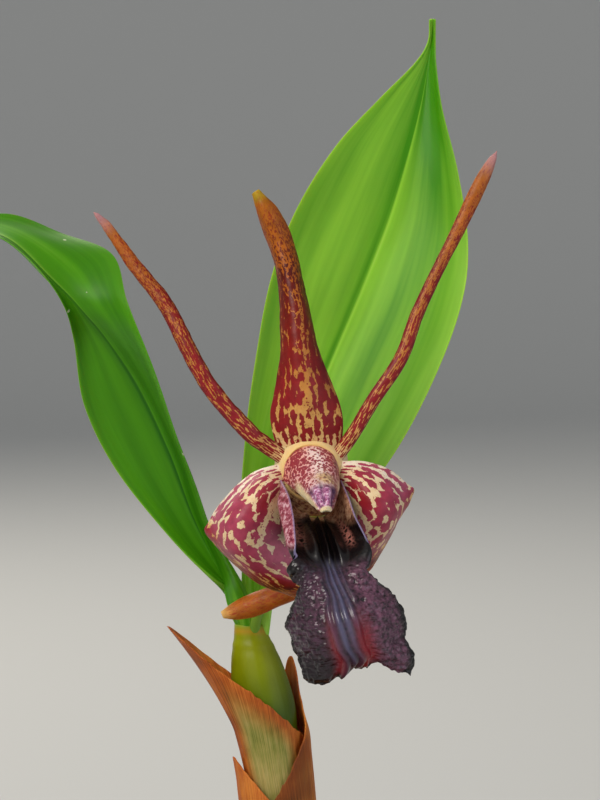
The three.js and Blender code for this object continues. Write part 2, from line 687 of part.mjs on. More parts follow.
const LEFT_SEPAL = [
  [[-3.5, -22.95, 69], [-3.0, -23, 67.4], [-1.6, -22.95, 65.9]],
  [[-6, -24.5, 68.3], [-4.3, -27.5, 66.2], [-1.2, -23.6, 63.8]],
  [[-8.9, -24.5, 66], [-6, -28.6, 64], [-0.7, -23.4, 60.9]],
  [[-11.7, -23.5, 62.7], [-7.8, -29, 61.1], [-0.4, -23.4, 58.1]],
  [[-12.5, -22, 60], [-8.1, -27.5, 58.1], [0, -23, 55.7]],
  [[-10.3, -21.5, 57], [-6.1, -25, 55.5], [0.8, -22, 54.1]],
  [[-6.1, -20, 53.4], [-3, -22, 53.1], [1.9, -20.3, 52.9]],
  [[-1.3, -18, 51.4], [0.5, -19.3, 51.9], [3.1, -18, 52.2]],
  [[3, -16.5, 49.7], [3.8, -17.5, 50.7], [4.7, -16.5, 51.6]],
  [[7.2, -15.5, 48.4], [7.6, -16.5, 49.4], [8, -15.5, 50.4]],
  [[10.8, -15, 47.3], [11, -15.7, 48.2], [11.3, -15, 49]],
  [[13.1, -15, 46.5], [13.3, -15.2, 46.9], [13.5, -15, 47.4]],
];
const RIGHT_SEPAL = [
  [[6.3, -22.95, 69], [5.8, -23, 67.4], [4.5, -22.95, 65.9]],
  [[8.3, -24.3, 69.7], [7.2, -26.6, 66.9], [5.2, -23.4, 63.8]],
  [[11.4, -24.5, 68.9], [9.1, -28.2, 65.2], [5.5, -23.2, 60.9]],
  [[13.9, -23.5, 67.2], [10.8, -28.3, 63.1], [5.7, -23, 58.8]],
  [[15.1, -22, 65.3], [11.4, -26.6, 60.9], [5.6, -22.4, 57.6]],
  [[13.4, -20.3, 61.6], [10.7, -24, 58.9], [6.2, -20.6, 57]],
  [[11.3, -18, 57.6], [9.5, -20, 57], [6.6, -17.6, 57]],
  [[8.8, -15.2, 53.9], [7.6, -16.7, 55.2], [6.3, -15.2, 56.5]],
  [[3.7, -12.7, 51.9], [3.2, -14, 53.3], [2.6, -12.7, 54.6]],
  [[-1.5, -10.6, 50.1], [-1.9, -11.8, 51.3], [-2.3, -10.6, 52.5]],
  [[-5.7, -9.3, 48.2], [-6.2, -10.4, 49.6], [-6.7, -9.3, 50.9]],
  [[-8.5, -8.8, 47.5], [-8.8, -9.6, 48.6], [-9.2, -8.8, 49.7]],
  [[-10.6, -8.9, 47.6], [-10.8, -9.1, 48], [-11, -8.9, 48.4]],
];
const dorsalThickness = stations([[0, 0.9], [0.25, 1.0], [0.45, 1.3], [0.6, 1.6], [0.85, 1.5], [1, 0.7]]);
const lateralThickness = stations([[0, 0.9], [0.45, 0.9], [0.6, 1.2], [0.75, 1.6], [0.9, 1.3], [1, 0.7]]);

addPiece(
  shoot,
  "dorsal_sepal",
  blade({ surface: net(DORSAL_SEPAL), thickness: blunt(dorsalThickness), long: 18, wide: 6 }),
  sepalSpeckle,
);
addPiece(
  shoot,
  "lateral_sepal_left",
  blade({ surface: net(LEFT_SEPAL), thickness: blunt(lateralThickness), long: 20, wide: 6, flip: true }),
  sepalSpeckle,
);
addPiece(
  shoot,
  "lateral_sepal_right",
  blade({ surface: net(RIGHT_SEPAL), thickness: blunt(lateralThickness), long: 20, wide: 6 }),
  sepalSpeckle,
);

// Petals: two long thick straps that spread upwards
const LEFT_PETAL = [
  [-3.3, -23.2, 70.8], [-4.9, -25.2, 72.1], [-6.9, -26.6, 73.7], [-11.8, -28, 79.3], [-15.1, -28, 85],
  [-18, -27, 90.7], [-22.5, -26, 96.4], [-25.9, -25.5, 101.2], [-27.8, -26, 103.4],
];
const RIGHT_PETAL = [
  [6.1, -23.3, 71.2], [7.1, -25, 73.3], [9.9, -26, 78], [13.6, -26, 83.6], [15.8, -25.5, 89.5],
  [18.5, -25, 95.3], [21.5, -24, 101.2], [24.4, -23, 107.2], [26.8, -22, 111.9],
];

function makePetal(points, across) {
  return stem({
    points,
    across,
    through: (t) => 0.62 * across(t) + 0.05,
    reference: [0, -1, 0],
    steps: 18,
    sides: 8,
  });
}

const leftPetalHalf = stations([
  [0, 1.0], [0.15, 1.15], [0.4, 1.15], [0.6, 1.1], [0.8, 0.85], [0.93, 0.5], [1, 0.25],
]);
const rightPetalHalf = stations([
  [0, 1.0], [0.15, 0.95], [0.4, 0.95], [0.65, 0.85], [0.85, 1.0], [0.94, 0.75], [1, 0.25],
]);
addPiece(shoot, "petal_left", makePetal(LEFT_PETAL, leftPetalHalf), petalRust);
addPiece(shoot, "petal_right", makePetal(RIGHT_PETAL, rightPetalHalf), petalRust);

// Lip: a fleshy trough between two side lobes, then a broad drooping blade
const LIP = [
  [[-0.7, -25.3, 65.2], [0.5, -23.4, 62.6], [2.2, -22.5, 61.4], [3.9, -23.4, 62.6], [5, -25.3, 65.2]],
  [[-2.1, -30, 66], [-0.5, -26, 62.8], [2.4, -24, 60.9], [4.9, -26, 62.8], [5.6, -30, 66]],
  [[-1.2, -34, 64.3], [-0.1, -29, 61.2], [3, -27.5, 59.7], [6, -29, 61.2], [6.9, -34, 64.5]],
  [[-0.9, -36, 61.1], [0.1, -32, 58.7], [3.5, -31, 57.8], [6.9, -32, 58.7], [8.2, -35.5, 61.4]],
  [[-0.7, -37, 57.9], [0.5, -34.5, 56.8], [4, -34, 56.2], [7.7, -34.5, 57], [9.4, -36.5, 58.6]],
  [[-1.5, -36.5, 55.8], [0.8, -36, 55.1], [4.4, -36.5, 54.9], [7.7, -36.5, 55.5], [9.4, -36.5, 56.7]],
  [[-0.4, -35.5, 53.8], [1.6, -38, 53.5], [4.6, -38.5, 53.5], [7.5, -38.5, 54], [9.6, -36, 55.1]],
  [[-0.9, -34.5, 51.1], [1.6, -38.5, 51.1], [5, -40.5, 51.3], [8.7, -39.5, 52], [11.8, -35.5, 53]],
  [[-1.6, -33.5, 48.5], [1.6, -38.5, 48.4], [5.5, -41.5, 48.7], [9.7, -40, 49.5], [13.4, -35, 50]],
  [[-1.2, -33, 45.8], [1.8, -38.5, 45.6], [6.1, -41.5, 46.2], [10.4, -40, 47.2], [13.8, -35, 47.5]],
  [[-0.3, -34, 42.9], [2.4, -38, 43], [7, -40, 44.3], [11, -39, 44.9], [14.2, -35.5, 45.2]],
  [[1.2, -35.5, 40.8], [3.4, -37.5, 40.8], [7.8, -38, 42.8], [11.7, -38, 43.2], [14.7, -37, 43]],
];
const KEEL_HEIGHT = 0.9;
const KEEL_BAND = 0.5;

// Three keels stand up along the throat, and fade out down the blade.
function keels(u, v) {
  const length = THREE.MathUtils.smoothstep(u, 0.08, 0.2) * (1 - THREE.MathUtils.smoothstep(u, 0.45, 0.95));
  const ridge = Math.abs(v) < KEEL_BAND ? Math.max(0, Math.cos(v * Math.PI * 5)) : 0;
  return KEEL_HEIGHT * length * ridge;
}

function makeLip() {
  const full = stations([[0, 1.3], [0.4, 1.1], [0.6, 1.3], [1, 0.9]]);
  const thickness = blunt(full, 0.7);
  return blade({ surface: net(LIP), thickness, relief: keels, long: 24, wide: 20, flip: true });
}

addPiece(shoot, "lip", makeLip(), lipBlack);

export default plant;
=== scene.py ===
"""Looks of a potted orchid in flower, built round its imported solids.

Shapes are worked out in millimetres and put into the meshes in metres. What stands above
the rhizome is drawn in the shoot's own frame, with X to the right, Y away from the viewer
and Z up from the pseudobulb's foot; the shoot then leans about X.
"""

import logging
import math
from collections.abc import Callable, Sequence
from dataclasses import dataclass, replace
from enum import Enum
from functools import partial

import bpy
import numpy as np
from bpy.types import Material, Mesh, Node, NodeSocket, NodeTree
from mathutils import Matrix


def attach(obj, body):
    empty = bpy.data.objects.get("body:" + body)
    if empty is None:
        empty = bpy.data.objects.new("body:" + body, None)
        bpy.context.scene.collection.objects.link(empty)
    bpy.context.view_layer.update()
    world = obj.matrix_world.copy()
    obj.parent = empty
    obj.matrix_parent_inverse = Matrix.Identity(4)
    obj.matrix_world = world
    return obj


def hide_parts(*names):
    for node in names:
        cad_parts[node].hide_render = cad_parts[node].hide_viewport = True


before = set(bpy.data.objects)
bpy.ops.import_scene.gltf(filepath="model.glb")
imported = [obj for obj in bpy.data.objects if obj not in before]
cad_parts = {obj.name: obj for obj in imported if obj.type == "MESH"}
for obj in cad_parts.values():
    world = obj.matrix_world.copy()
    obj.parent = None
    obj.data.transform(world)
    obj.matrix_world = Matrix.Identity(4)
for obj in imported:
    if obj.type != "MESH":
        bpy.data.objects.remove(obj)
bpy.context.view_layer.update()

LOG = logging.getLogger("orchid")
Array = np.ndarray
Adder = Callable[..., Node]
Painted = tuple[Node, Node]
Pair = tuple[float, float]
Triple = tuple[float, float, float]
MM = 0.001
SHOOT_FOOT = np.array([6.0, 4.0, 80.0])
SHOOT_LEAN = math.radians(-6)
BULB_LENGTH = 45.0


# Arrays and shapes


def linear(code: str) -> tuple[float, float, float, float]:
    """Turns an sRGB hex colour into linear light.

    Args:
        code: The colour, such as "#80c040".

    Returns:
        Red, green, blue and an alpha of 1.
    """
    parts = [int(code[i : i + 2], 16) / 255 for i in (1, 3, 5)]
    red, green, blue = [p / 12.92 if p <= 0.04045 else ((p + 0.055) / 1.055) ** 2.4 for p in parts]
    return red, green, blue, 1.0


def unit(vectors: Array) -> Array:
    """Returns vectors, along the last axis, at length 1."""
    return vectors / np.maximum(np.linalg.norm(vectors, axis=-1, keepdims=True), 1e-12)


def turns(count: int) -> Array:
    """Returns angles that go once round in equal steps."""
    return 2 * np.pi * np.arange(count) / count


def joined(x: Array, y: Array, z: Array) -> Array:
    """Returns points whose coordinates are broadcast together and lie along a new last axis."""
    return np.stack(np.broadcast_arrays(x, y, z), axis=-1)


def smooth(low: float, high: float, value: Array) -> Array:
    """Returns a step from 0 at low to 1 at high, 3t^2 - 2t^3 between; low may be above high."""
    t = np.clip((value - low) / (high - low), 0, 1)
    return t * t * (3 - 2 * t)


def bell(value: Array, centre: float, width: float) -> Array:
    """Returns a bell curve of height 1 about a centre: exp(-((value - centre) / width)^2)."""
    return np.exp(-(((value - centre) / width) ** 2))


def stations(pairs: Sequence[Pair], places: Array) -> Array:
    """A smooth value over stations, by cubic pieces with slopes shared by neighbours.

    Args:
        pairs: The stations, each a place and its value.
        places: Where the value is wanted.

    Returns:
        The values, in the shape of places.
    """
    at, value = np.array(pairs, float).T
    order = np.arange(len(at))
    ahead, behind = np.minimum(order + 1, len(at) - 1), np.maximum(order - 1, 0)
    slope = (value[ahead] - value[behind]) / (at[ahead] - at[behind])
    i = np.clip(np.searchsorted(at, places, side="right") - 1, 0, len(at) - 2)
    width = at[i + 1] - at[i]
    t = np.clip((places - at[i]) / width, 0, 1)
    first = 2 * t**3 - 3 * t**2 + 1
    leave, arrive = t**3 - 2 * t**2 + t, t**3 - t**2
    bend = width * (leave * slope[i] + arrive * slope[i + 1])
    return first * value[i] + (1 - first) * value[i + 1] + bend


def spline(points: Sequence | Array, places: Array) -> Array:
    """Catmull-Rom curve through points along the first axis.

    Args:
        points: At least two points, or rows of points.
        places: Places from 0 to 1 along them.

    Returns:
        One point, or row of points, for each place.
    """
    points = np.asarray(points, float)
    count = len(points)
    ends = [2 * points[:1] - points[1:2], points, 2 * points[-1:] - points[-2:-1]]
    padded = np.concatenate(ends)
    at = np.clip(places, 0, 1) * (count - 1)
    i = np.minimum(at.astype(int), count - 2)
    f = (at - i).reshape(-1, *[1] * (points.ndim - 1))
    before, here, ahead, after = (padded[i + k] for k in range(4))
    return (
        (-f + 2 * f**2 - f**3) / 2 * before
        + (2 - 5 * f**2 + 3 * f**3) / 2 * here
        + (f + 4 * f**2 - 3 * f**3) / 2 * ahead
        + (f**3 - f**2) / 2 * after
    )


def net(rows: Sequence | Array, us: Array, vs: Array) -> Array:
    """A surface through a net of points, by Catmull-Rom curves across and then along.

    Args:
        rows: The net: rows run along the surface, and the points of a row across it.
        us: Places along, from 0 to 1.
        vs: Places across, from -1 to 1.

    Returns:
        Points in the shape (along, across, 3).
    """
    points = np.array(rows, float)
    crossed = spline(points.swapaxes(0, 1), (np.asarray(vs) + 1) / 2).swapaxes(0, 1)
    return spline(crossed, np.asarray(us))


def lattice(cells: Array, seed: int) -> Array:
    """A fixed value from -1 to 1 for each whole cell, by multiplying and folding its numbers.

    Args:
        cells: Whole numbers in the shape (..., 3).
        seed: Which set of values.

    Returns:
        The values, in the shape (...).
    """
    mixed = cells @ np.array([374761393, 668265263, 2147483647], np.int64) + seed * 1274126177
    mixed = ((mixed & 0xFFFFFFFF) ^ ((mixed & 0xFFFFFFFF) >> 13)) * 1274126177 & 0xFFFFFFFF
    return ((mixed ^ (mixed >> 16)) & 0xFFFFFF) / 0xFFFFFF * 2 - 1


def noise(points: Array, size: float, seed: int) -> Array:
    """Smooth noise: the eight cell corners about a point, blended by smooth steps.

    Args:
        points: Points in the shape (..., 3).
        size: The size of a bump, in the points' own measure.
        seed: Which noise.

    Returns:
        Values from -1 to 1, in the shape (...).
    """
    scaled = points / size
    base = np.floor(scaled).astype(np.int64)
    part = scaled - base
    fade = part * part * (3 - 2 * part)
    total = np.zeros(points.shape[:-1])
    for corner in np.ndindex(2, 2, 2):
        weight = np.prod(np.where(np.array(corner) == 1, fade, 1 - fade), axis=-1)
        total += weight * lattice(base + np.array(corner), seed)
    return total


def rough(points: Array, size: float, seed: int, layers: int = 3) -> Array:
    """Returns noise in layers, each half the size and half the height of the one before."""
    return sum(noise(points, size / 2**k, seed + k) / 2**k for k in range(layers))


def in_shoot(points: Array) -> Array:
    """Returns the shoot's points in the pot's frame: turned about X by the lean, then shifted."""
    c, s = math.cos(SHOOT_LEAN), math.sin(SHOOT_LEAN)
    return points @ np.array([[1, 0, 0], [0, c, s], [0, -s, c]]) + SHOOT_FOOT


@dataclass
class Skin:
    """A closed surface: points in millimetres, faces, and named numbers at each point."""

    points: Array
    quads: Array
    triangles: Array
    marks: dict[str, Array]

    def volume(self) -> float:
        """The enclosed volume, as a sum of a x b . c over the triangles.

        Returns:
            The volume, which is below 0 where the faces point inwards.
        """
        split = np.concatenate([self.quads[:, [0, 1, 2]], self.quads[:, [0, 2, 3]], self.triangles])
        a, b, c = (self.points[split[:, k]] for k in range(3))
        return float(np.sum(np.cross(a, b) * c) / 6)

    def faced(self) -> "Skin":
        """Turns the faces round where they point inwards.

        Returns:
            The same skin with its faces pointing outwards.
        """
        if self.volume() >= 0:
            return self
        return replace(self, quads=self.quads[:, ::-1], triangles=self.triangles[:, ::-1])


class Ends(Enum):
    """How a skin is shut at its two ends."""

    POLES = "a fan of triangles to the middle of the ring"
    SEAM = "a strip between the ring's two halves"
    LOOP = "the last ring joined to the first"


def wrap(rings: Array, marks: dict[str, Array], ends: Ends = Ends.POLES) -> Skin:
    """Joins rings of points into a closed skin.

    Args:
        rings: Points in the shape (rings, around, 3).
        marks: Named numbers, each of which fits the shape (rings, around).
        ends: How it is shut at its ends.

    Returns:
        The skin, facing outwards.
    """
    count, around = rings.shape[:2]
    points = rings.reshape(-1, 3)
    flat = {k: np.broadcast_to(m, (count, around)).reshape(-1) for k, m in marks.items()}
    at = np.arange(count * around).reshape(count, around)
    beside = np.roll(at, -1, axis=1)
    above = np.roll(at, -1, axis=0) if ends is Ends.LOOP else at[1:]
    over = np.roll(above, -1, axis=1)
    quads = np.stack([at[: len(above)], beside[: len(above)], over, above], axis=-1).reshape(-1, 4)
    triangles = np.zeros((0, 3), int)
    if ends is Ends.SEAM:
        half, j = around // 2, np.arange(1, around // 2 - 1)
        strip = np.stack([j + 1, j, around - j, around - j - 1], axis=-1)
        tips = np.array([[1, 0, around - 1], [half, half - 1, half + 1]])
        quads = np.concatenate([quads, strip, strip[:, ::-1] + at[-1, 0]])
        triangles = np.concatenate([tips, tips[:, ::-1] + at[-1, 0]])
    elif ends is Ends.POLES:
        poles = np.stack([rings[0].mean(axis=0), rings[-1].mean(axis=0)])
        low = np.stack([np.full(around, len(points)), beside[0], at[0]], axis=-1)
        high = np.stack([np.full(around, len(points) + 1), at[-1], beside[-1]], axis=-1)
        points = np.concatenate([points, poles])
        triangles = np.concatenate([low, high])
        middles = {k: np.array([m[:around].mean(), m[-around:].mean()]) for k, m in flat.items()}
        flat = {k: np.concatenate([m, middles[k]]) for k, m in flat.items()}
    return Skin(points, quads, triangles, flat).faced()


def merged(skins: list[Skin]) -> Skin:
    """Puts skins side by side in one; a mark that a skin lacks is 0 there.

    Args:
        skins: The skins.

    Returns:
        One skin that holds them all.
    """
    starts = np.cumsum([0] + [len(s.points) for s in skins[:-1]])
    names = sorted({name for s in skins for name in s.marks})
    return Skin(
        np.concatenate([s.points for s in skins]),
        np.concatenate([s.quads + n for s, n in zip(skins, starts)]),
        np.concatenate([s.triangles + n for s, n in zip(skins, starts)]),
        {n: np.concatenate([s.marks.get(n, np.zeros(len(s.points))) for s in skins]) for n in names},
    )


def lengths(points: Array) -> Array:
    """Returns how far along a line of points each one lies, from 0 at the first."""
    steps = np.linalg.norm(np.diff(points, axis=0), axis=-1)
    return np.concatenate([[0], np.cumsum(steps)])


def frames(path: Array, reference: tuple) -> tuple[Array, Array]:
    """Directions at right angles to a path: side = reference x ahead, face = ahead x side.

    Args:
        path: Points along it.
        reference: A direction that the side is at right angles to.

    Returns:
        The side and the face direction at each point.
    """
    ahead = unit(np.gradient(path, axis=0))
    side = unit(np.cross(np.array(reference, float), ahead))
    return side, np.cross(ahead, side)


def ovals(middles: Array, across: Array, through: Array, way: tuple[Array, Array], turn: Array) -> Array:
    """Rings of points: middle + across cos(turn) side + through sin(turn) face.

    Args:
        middles: The rings' middles.
        across: Half-widths in the shape (rings, 1) or (rings, around).
        through: Half-depths in the same shape.
        way: The side and the face direction, one for each ring or one for all.
        turn: The angles round a ring.

    Returns:
        Points in the shape (rings, around, 3).
    """
    side, face = (direction[..., None, :] for direction in way)
    wide = (across * np.cos(turn))[..., None] * side
    return middles[:, None] + wide + (through * np.sin(turn))[..., None] * face


def sweep(path: Array, across: Array, through: Array, reference: tuple, sides: int) -> Skin:
    """A tube of oval sections along a path, shut at its ends.

    Args:
        path: Points along the tube.
        across: Half-width at each point, along the side direction.
        through: Half-depth at each point, at right angles to it.
        reference: A direction that the side direction is at right angles to.
        sides: How many points go round.

    Returns:
        The tube as a skin with marks share, across and along.
    """
    turn, reach = turns(sides), lengths(path)
    marks = {"share": (reach / reach[-1])[:, None], "across": np.cos(turn)[None], "along": reach[:, None]}
    return wrap(ovals(path, across[:, None], through[:, None], frames(path, reference), turn), marks)


@dataclass
class Blade:
    """A thin closed body about a net, with rounded margins.

    Attributes:
        rows: The net.
        long: Points along it.
        wide: Steps across it on either face.
        half: Half-thickness at (u, v), in millimetres.
        relief: How far the front and the back face stand out at (u, v, middle points).
        shift: A move of the middle surface at (u, v), before it gets its thickness.
        edge: How blunt the margins are: the power of the sine that closes them.
    """

    rows: Sequence | Array
    long: int
    wide: int
    half: Callable[[Array, Array], Array]
    relief: Callable[[Array, Array, Array], tuple[Array, Array]]
    shift: Callable[[Array, Array, Array], Array] | None = None
    edge: float = 0.5

    def skin(self) -> Skin:
        """Carries the two faces round the net: v = -cos(turn), offset = half sin(turn)^edge.

        Returns:
            The blade's skin with marks share, across, along and front.
        """
        u = np.linspace(0, 1, self.long)
        turn = np.pi * np.arange(self.wide + 1) / self.wide
        v = -np.cos(turn)
        us, vs = u[:, None], v[None]
        middle = net(self.rows, u, v)
        if self.shift:
            middle = middle + self.shift(us, vs, middle)
            right = np.gradient(middle, axis=1)
        else:
            inner, step = np.clip(v, -0.999, 0.999), 2e-3
            right = net(self.rows, u, inner + step) - net(self.rows, u, inner - step)
        normal = unit(np.cross(right, np.gradient(middle, axis=0)))
        normal *= -np.sign(normal[..., 1].sum())
        offset = self.half(us, vs) * np.sin(turn).clip(0) ** self.edge
        front, back = self.relief(us, vs, middle)
        top = middle + normal * (offset + front)[..., None]
        under = middle - normal * (offset + back)[..., None]
        rings = np.concatenate([top, under[:, -2:0:-1]], axis=1)
        reach = lengths(middle[:, self.wide // 2])
        marks = {
            "share": us,
            "across": np.concatenate([v, v[-2:0:-1]])[None],
            "along": reach[:, None],
            "front": np.concatenate([np.ones(self.wide + 1), np.zeros(self.wide - 1)])[None],
        }
        return wrap(rings, marks, Ends.SEAM)


# Materials


# How far noise bends a fine pattern on the column and the lip: 0.6 mm.
SWAY = (0.0006, 0.0006, 0.0006)


def add(tree: NodeTree, kind: str, inputs: dict | tuple = (), stops: tuple = (), **settings) -> Node:
    """Adds a node with its settings, values, links and colour stops.

    Args:
        tree: The material's node tree.
        kind: The node's type, without "ShaderNode", and after a space its operation, if any.
        inputs: Values in the order of the sockets, or by socket name. Each is a number, a hex
            colour, "place" for the Object coordinates, the name of a mark that the mesh
            carries, or a node or socket to link. A texture with no Vector is laid by "place".
        stops: Pairs of a place and a hex colour or a grey, for a colour ramp.
        **settings: Properties of the node.

    Returns:
        The node.
    """
    kind, *operation = kind.split()
    node = tree.nodes.new("ShaderNode" + kind)
    if operation:
        node.operation = operation[0]
    for key, value in settings.items():
        setattr(node, key, value)
    if kind in ("TexNoise", "TexVoronoi", "TexWave"):
        inputs = {"Vector": "place"} | inputs
    for key, value in inputs.items() if isinstance(inputs, dict) else enumerate(inputs):
        if value == "place":
            value = add(tree, "TexCoord").outputs["Object"]
        elif isinstance(value, str) and not value.startswith("#"):
            value = add(tree, "Attribute", attribute_name=value).outputs["Fac"]
        elif isinstance(value, Node):
            value = value.outputs[0]
        if isinstance(value, NodeSocket):
            tree.links.new(value, node.inputs[key])
        else:
            node.inputs[key].default_value = linear(value) if isinstance(value, str) else value
    for number, (place, shade) in enumerate(stops):
        points = node.color_ramp.elements
        point = points[number] if number < 2 else points.new(1.0)
        point.position = place
        point.color = linear(shade) if isinstance(shade, str) else (shade, shade, shade, 1.0)
    return node


@dataclass(frozen=True)
class Finish:
    """What all the surfaces share: a dielectric that lets some light in where it is thin.

    Attributes:
        name: The material's name.
        roughness: The shader's roughness.
        ior: The refractive index; plant wax is about 1.45.
        gloss: The shader's specular level; 0.5 is a plain dielectric.
        glow: The subsurface weight: how much of the light goes in and comes out again.
        reach: How far that light goes, in millimetres.
        coat: Weight of a clear wet film.
        film: That film's roughness.
        relief: Weight of the fine relief, and its depth in millimetres.
    """

    name: str
    roughness: float = 0.45
    ior: float = 1.45
    gloss: float = 0.3
    glow: float = 0.15
    reach: float = 0.8
    coat: float = 0.0
    film: float = 0.25
    relief: Pair = (0.3, 0.1)

    def paint(self, new: Adder) -> Painted:
        """Builds the nodes of the colour and of the fine relief's height; each finish has its own."""
        raise NotImplementedError

    def make(self) -> Material:
        """Makes the material: its shader, its colour and its relief.

        Returns:
            The material.
        """
        material = bpy.data.materials.new(self.name)
        material.use_nodes = True
        tree = material.node_tree
        new = partial(add, tree)
        shader = tree.nodes["Principled BSDF"]
        values = {
            "Roughness": self.roughness, "IOR": self.ior, "Specular IOR Level": self.gloss,
            "Subsurface Weight": self.glow, "Subsurface Radius": (1, 0.6, 0.3),
            "Subsurface Scale": self.reach * MM, "Coat Weight": self.coat, "Coat Roughness": self.film,
        }
        for socket, value in values.items():
            shader.inputs[socket].default_value = value
        colour, height = self.paint(new)
        bump = {"Strength": self.relief[0], "Distance": self.relief[1] * MM, "Height": height}
        tree.links.new(colour.outputs[0], shader.inputs["Base Color"])
        tree.links.new(new("Bump", bump).outputs[0], shader.inputs["Normal"])
        return material


@dataclass(frozen=True)
class LeafSkin(Finish):
    """Leathery living leaf: smooth cuticle over parallel veins, bright where it is thin.

    The wax gives a broad soft sheen; the veins run lengthwise and show as soft bands, and
    the midrib as a pale line beside a dark one, which is painted shade in its groove.

    Attributes:
        deep: The green between the veins.
        bright: The green on the veins and where the light comes through.
        rim: The margin's yellow green.
        specks: Weight of the tiny pale specks.
    """

    deep: str = "#3f8a04"
    bright: str = "#92cc38"
    rim: str = "#b8dc6c"
    specks: float = 0.0

    def paint(self, new: Adder) -> Painted:
        """Builds the veins, the midrib, the specks and the fine relief.

        Args:
            new: Adds a node to the material's tree.

        Returns:
            The colour and the height.
        """
        far = new("Math MULTIPLY", ("along", 0.004))
        veins = new("CombineXYZ", ("across", far))
        # Six broad bands and about forty fine veins cross a leaf 26 mm wide.
        broad = new("TexNoise", {"Vector": veins, "Scale": 3, "Detail": 1.5, "Roughness": 0.5})
        fine = new("TexNoise", {"Vector": veins, "Scale": 20, "Detail": 1})
        half = new("Math MULTIPLY_ADD", ("across", 0.5, 0.5))
        # The dip is painted shade in the midrib's groove; the peak beside it is the pale midrib.
        rib = new("ValToRGB", (half,), (
            (0, 0.62), (0.012, 0.5), (0.45, 0.5), (0.478, 0.32), (0.492, 0.4),
            (0.503, 0.85), (0.52, 0.6), (0.56, 0.5), (0.988, 0.5), (1, 0.62),
        ))
        lit = new("Math MULTIPLY_ADD", (broad, 1, "tone"))
        lit = new("Math MULTIPLY_ADD", (fine, 0.16, lit))
        lit = new("Math MULTIPLY_ADD", (rib, 0.9, lit))
        lit = new("Math ADD", (lit, -0.6), use_clamp=True)
        colour = new("ValToRGB", (lit,), ((0.12, self.deep), (0.62, self.bright), (1, self.rim)))
        dots = new("TexVoronoi", {"Scale": 190})
        spot = new("Math LESS_THAN", (dots, 0.045))
        some = new("Math MULTIPLY", (spot, self.specks))
        return new("MixRGB", (some, colour, "#b9c8a0")), lit


@dataclass(frozen=True)
class Blotched(Finish):
    """Waxy sepal or petal: beads of raised pigment, strung along the veins on a pale ground.

    The blotches are rounded cells that waver and merge. The mesh's marks steer them: cover
    is how far a bead reaches from its centre (0.2 keeps them apart, 0.4 leaves chinks),
    fleck the same for fine mottling, bare where the dotted midrib lies, ground and bead
    choose the pigments, mauve lays a bloom over them, and the last mark darkens all as
    painted shade.

    Attributes:
        across: How many beads lie side by side.
        length: A bead's length in millimetres.
    """

    glow: float = 0.2
    roughness: float = 0.42
    across: float = 11.0
    length: float = 1.3

    def paint(self, new: Adder) -> Painted:
        """Builds the beads, the mottling, the midrib's dots, the pigments, and the painted shade.

        Args:
            new: Adds a node to the material's tree.

        Returns:
            The colour and the height.
        """
        sideways = new("Math MULTIPLY", ("across", self.across / 2))
        lengthways = new("Math MULTIPLY", ("along", 1 / self.length))
        spot = new("CombineXYZ", (sideways, lengthways))
        waver = new("TexNoise", {"Vector": spot, "Scale": 2.2, "Detail": 2})
        off = new("VectorMath SUBTRACT", (waver.outputs["Color"], (0.5, 0.5, 0.5)))
        bent = new("VectorMath MULTIPLY_ADD", (off, (0.9, 0.9, 0), spot))
        round_cells = {"feature": "SMOOTH_F1", "voronoi_dimensions": "2D"}
        beads = new("TexVoronoi", {"Vector": bent, "Scale": 1, "Smoothness": 0.15}, **round_cells)
        # Bands one cell wide, which string the beads into rows along the veins.
        strung = {"Vector": bent, "Scale": 0.314, "Distortion": 1.5, "Detail": 1, "Detail Scale": 2}
        rows = new("TexWave", strung)
        small = new("TexVoronoi", {"Vector": bent, "Scale": 2.6}, voronoi_dimensions="2D")
        drift = new("TexNoise", {"Vector": spot, "Scale": 0.45, "Detail": 1})
        grain = new("TexNoise", {"Scale": 2600, "Detail": 2})
        ragged = new("Math MULTIPLY_ADD", (grain, 0.3, -0.15))
        merged_more = new("Math MULTIPLY_ADD", (drift, 0.5, -0.25))
        reach = new("Math ADD", (merged_more, "cover"))
        reach = new("Math MULTIPLY_ADD", (rows, 0.26, reach))
        reach = new("Math ADD", (reach, ragged))
        filled = new("Math SUBTRACT", (reach, beads))
        speck = new("Math ADD", (ragged, "fleck"))
        speck = new("Math SUBTRACT", (speck, small))
        filled = new("Math MAXIMUM", (filled, speck))
        # The midrib's dots are 0.2 mm across and 0.45 mm apart.
        dots = new("TexVoronoi", {"Scale": 2200})
        dotted = new("Math MULTIPLY", ("bare", 0.3))
        dotted = new("Math SUBTRACT", (dotted, dots))
        filled = new("Math MAXIMUM", (filled, dotted))
        filled = new("MapRange", (filled, -0.02, 0.05))
        ground = new("ValToRGB", ("ground",), (
            (0, "#f2e4d6"), (0.15, "#e8cfa6"), (0.3, "#d8aa62"), (0.45, "#bc7a34"), (0.6, "#a6560e"),
            (0.8, "#a2600a"), (1, "#b2941e"),
        ))
        bead = new("ValToRGB", ("bead",), (
            (0, "#bc6a84"), (0.2, "#a8405a"), (0.4, "#921e28"), (0.6, "#7c160c"), (0.8, "#541006"),
            (1, "#a4441a"),
        ))
        colour = new("MixRGB", (filled, ground, bead))
        depth = new("TexNoise", {"Scale": 900, "Detail": 3})
        tone = new("ValToRGB", (depth,), ((0.3, 0.3), (0.7, 0.7)))
        colour = new("MixRGB", (0.45, colour, tone), blend_type="OVERLAY")
        colour = new("MixRGB", ("mauve", colour, "#b48894"))
        # Painted shade: the colour goes towards a near-black maroon.
        colour = new("MixRGB", ("dusk", colour, "#2a0606"))
        return colour, new("Math MULTIPLY_ADD", (filled, 0.5, grain))


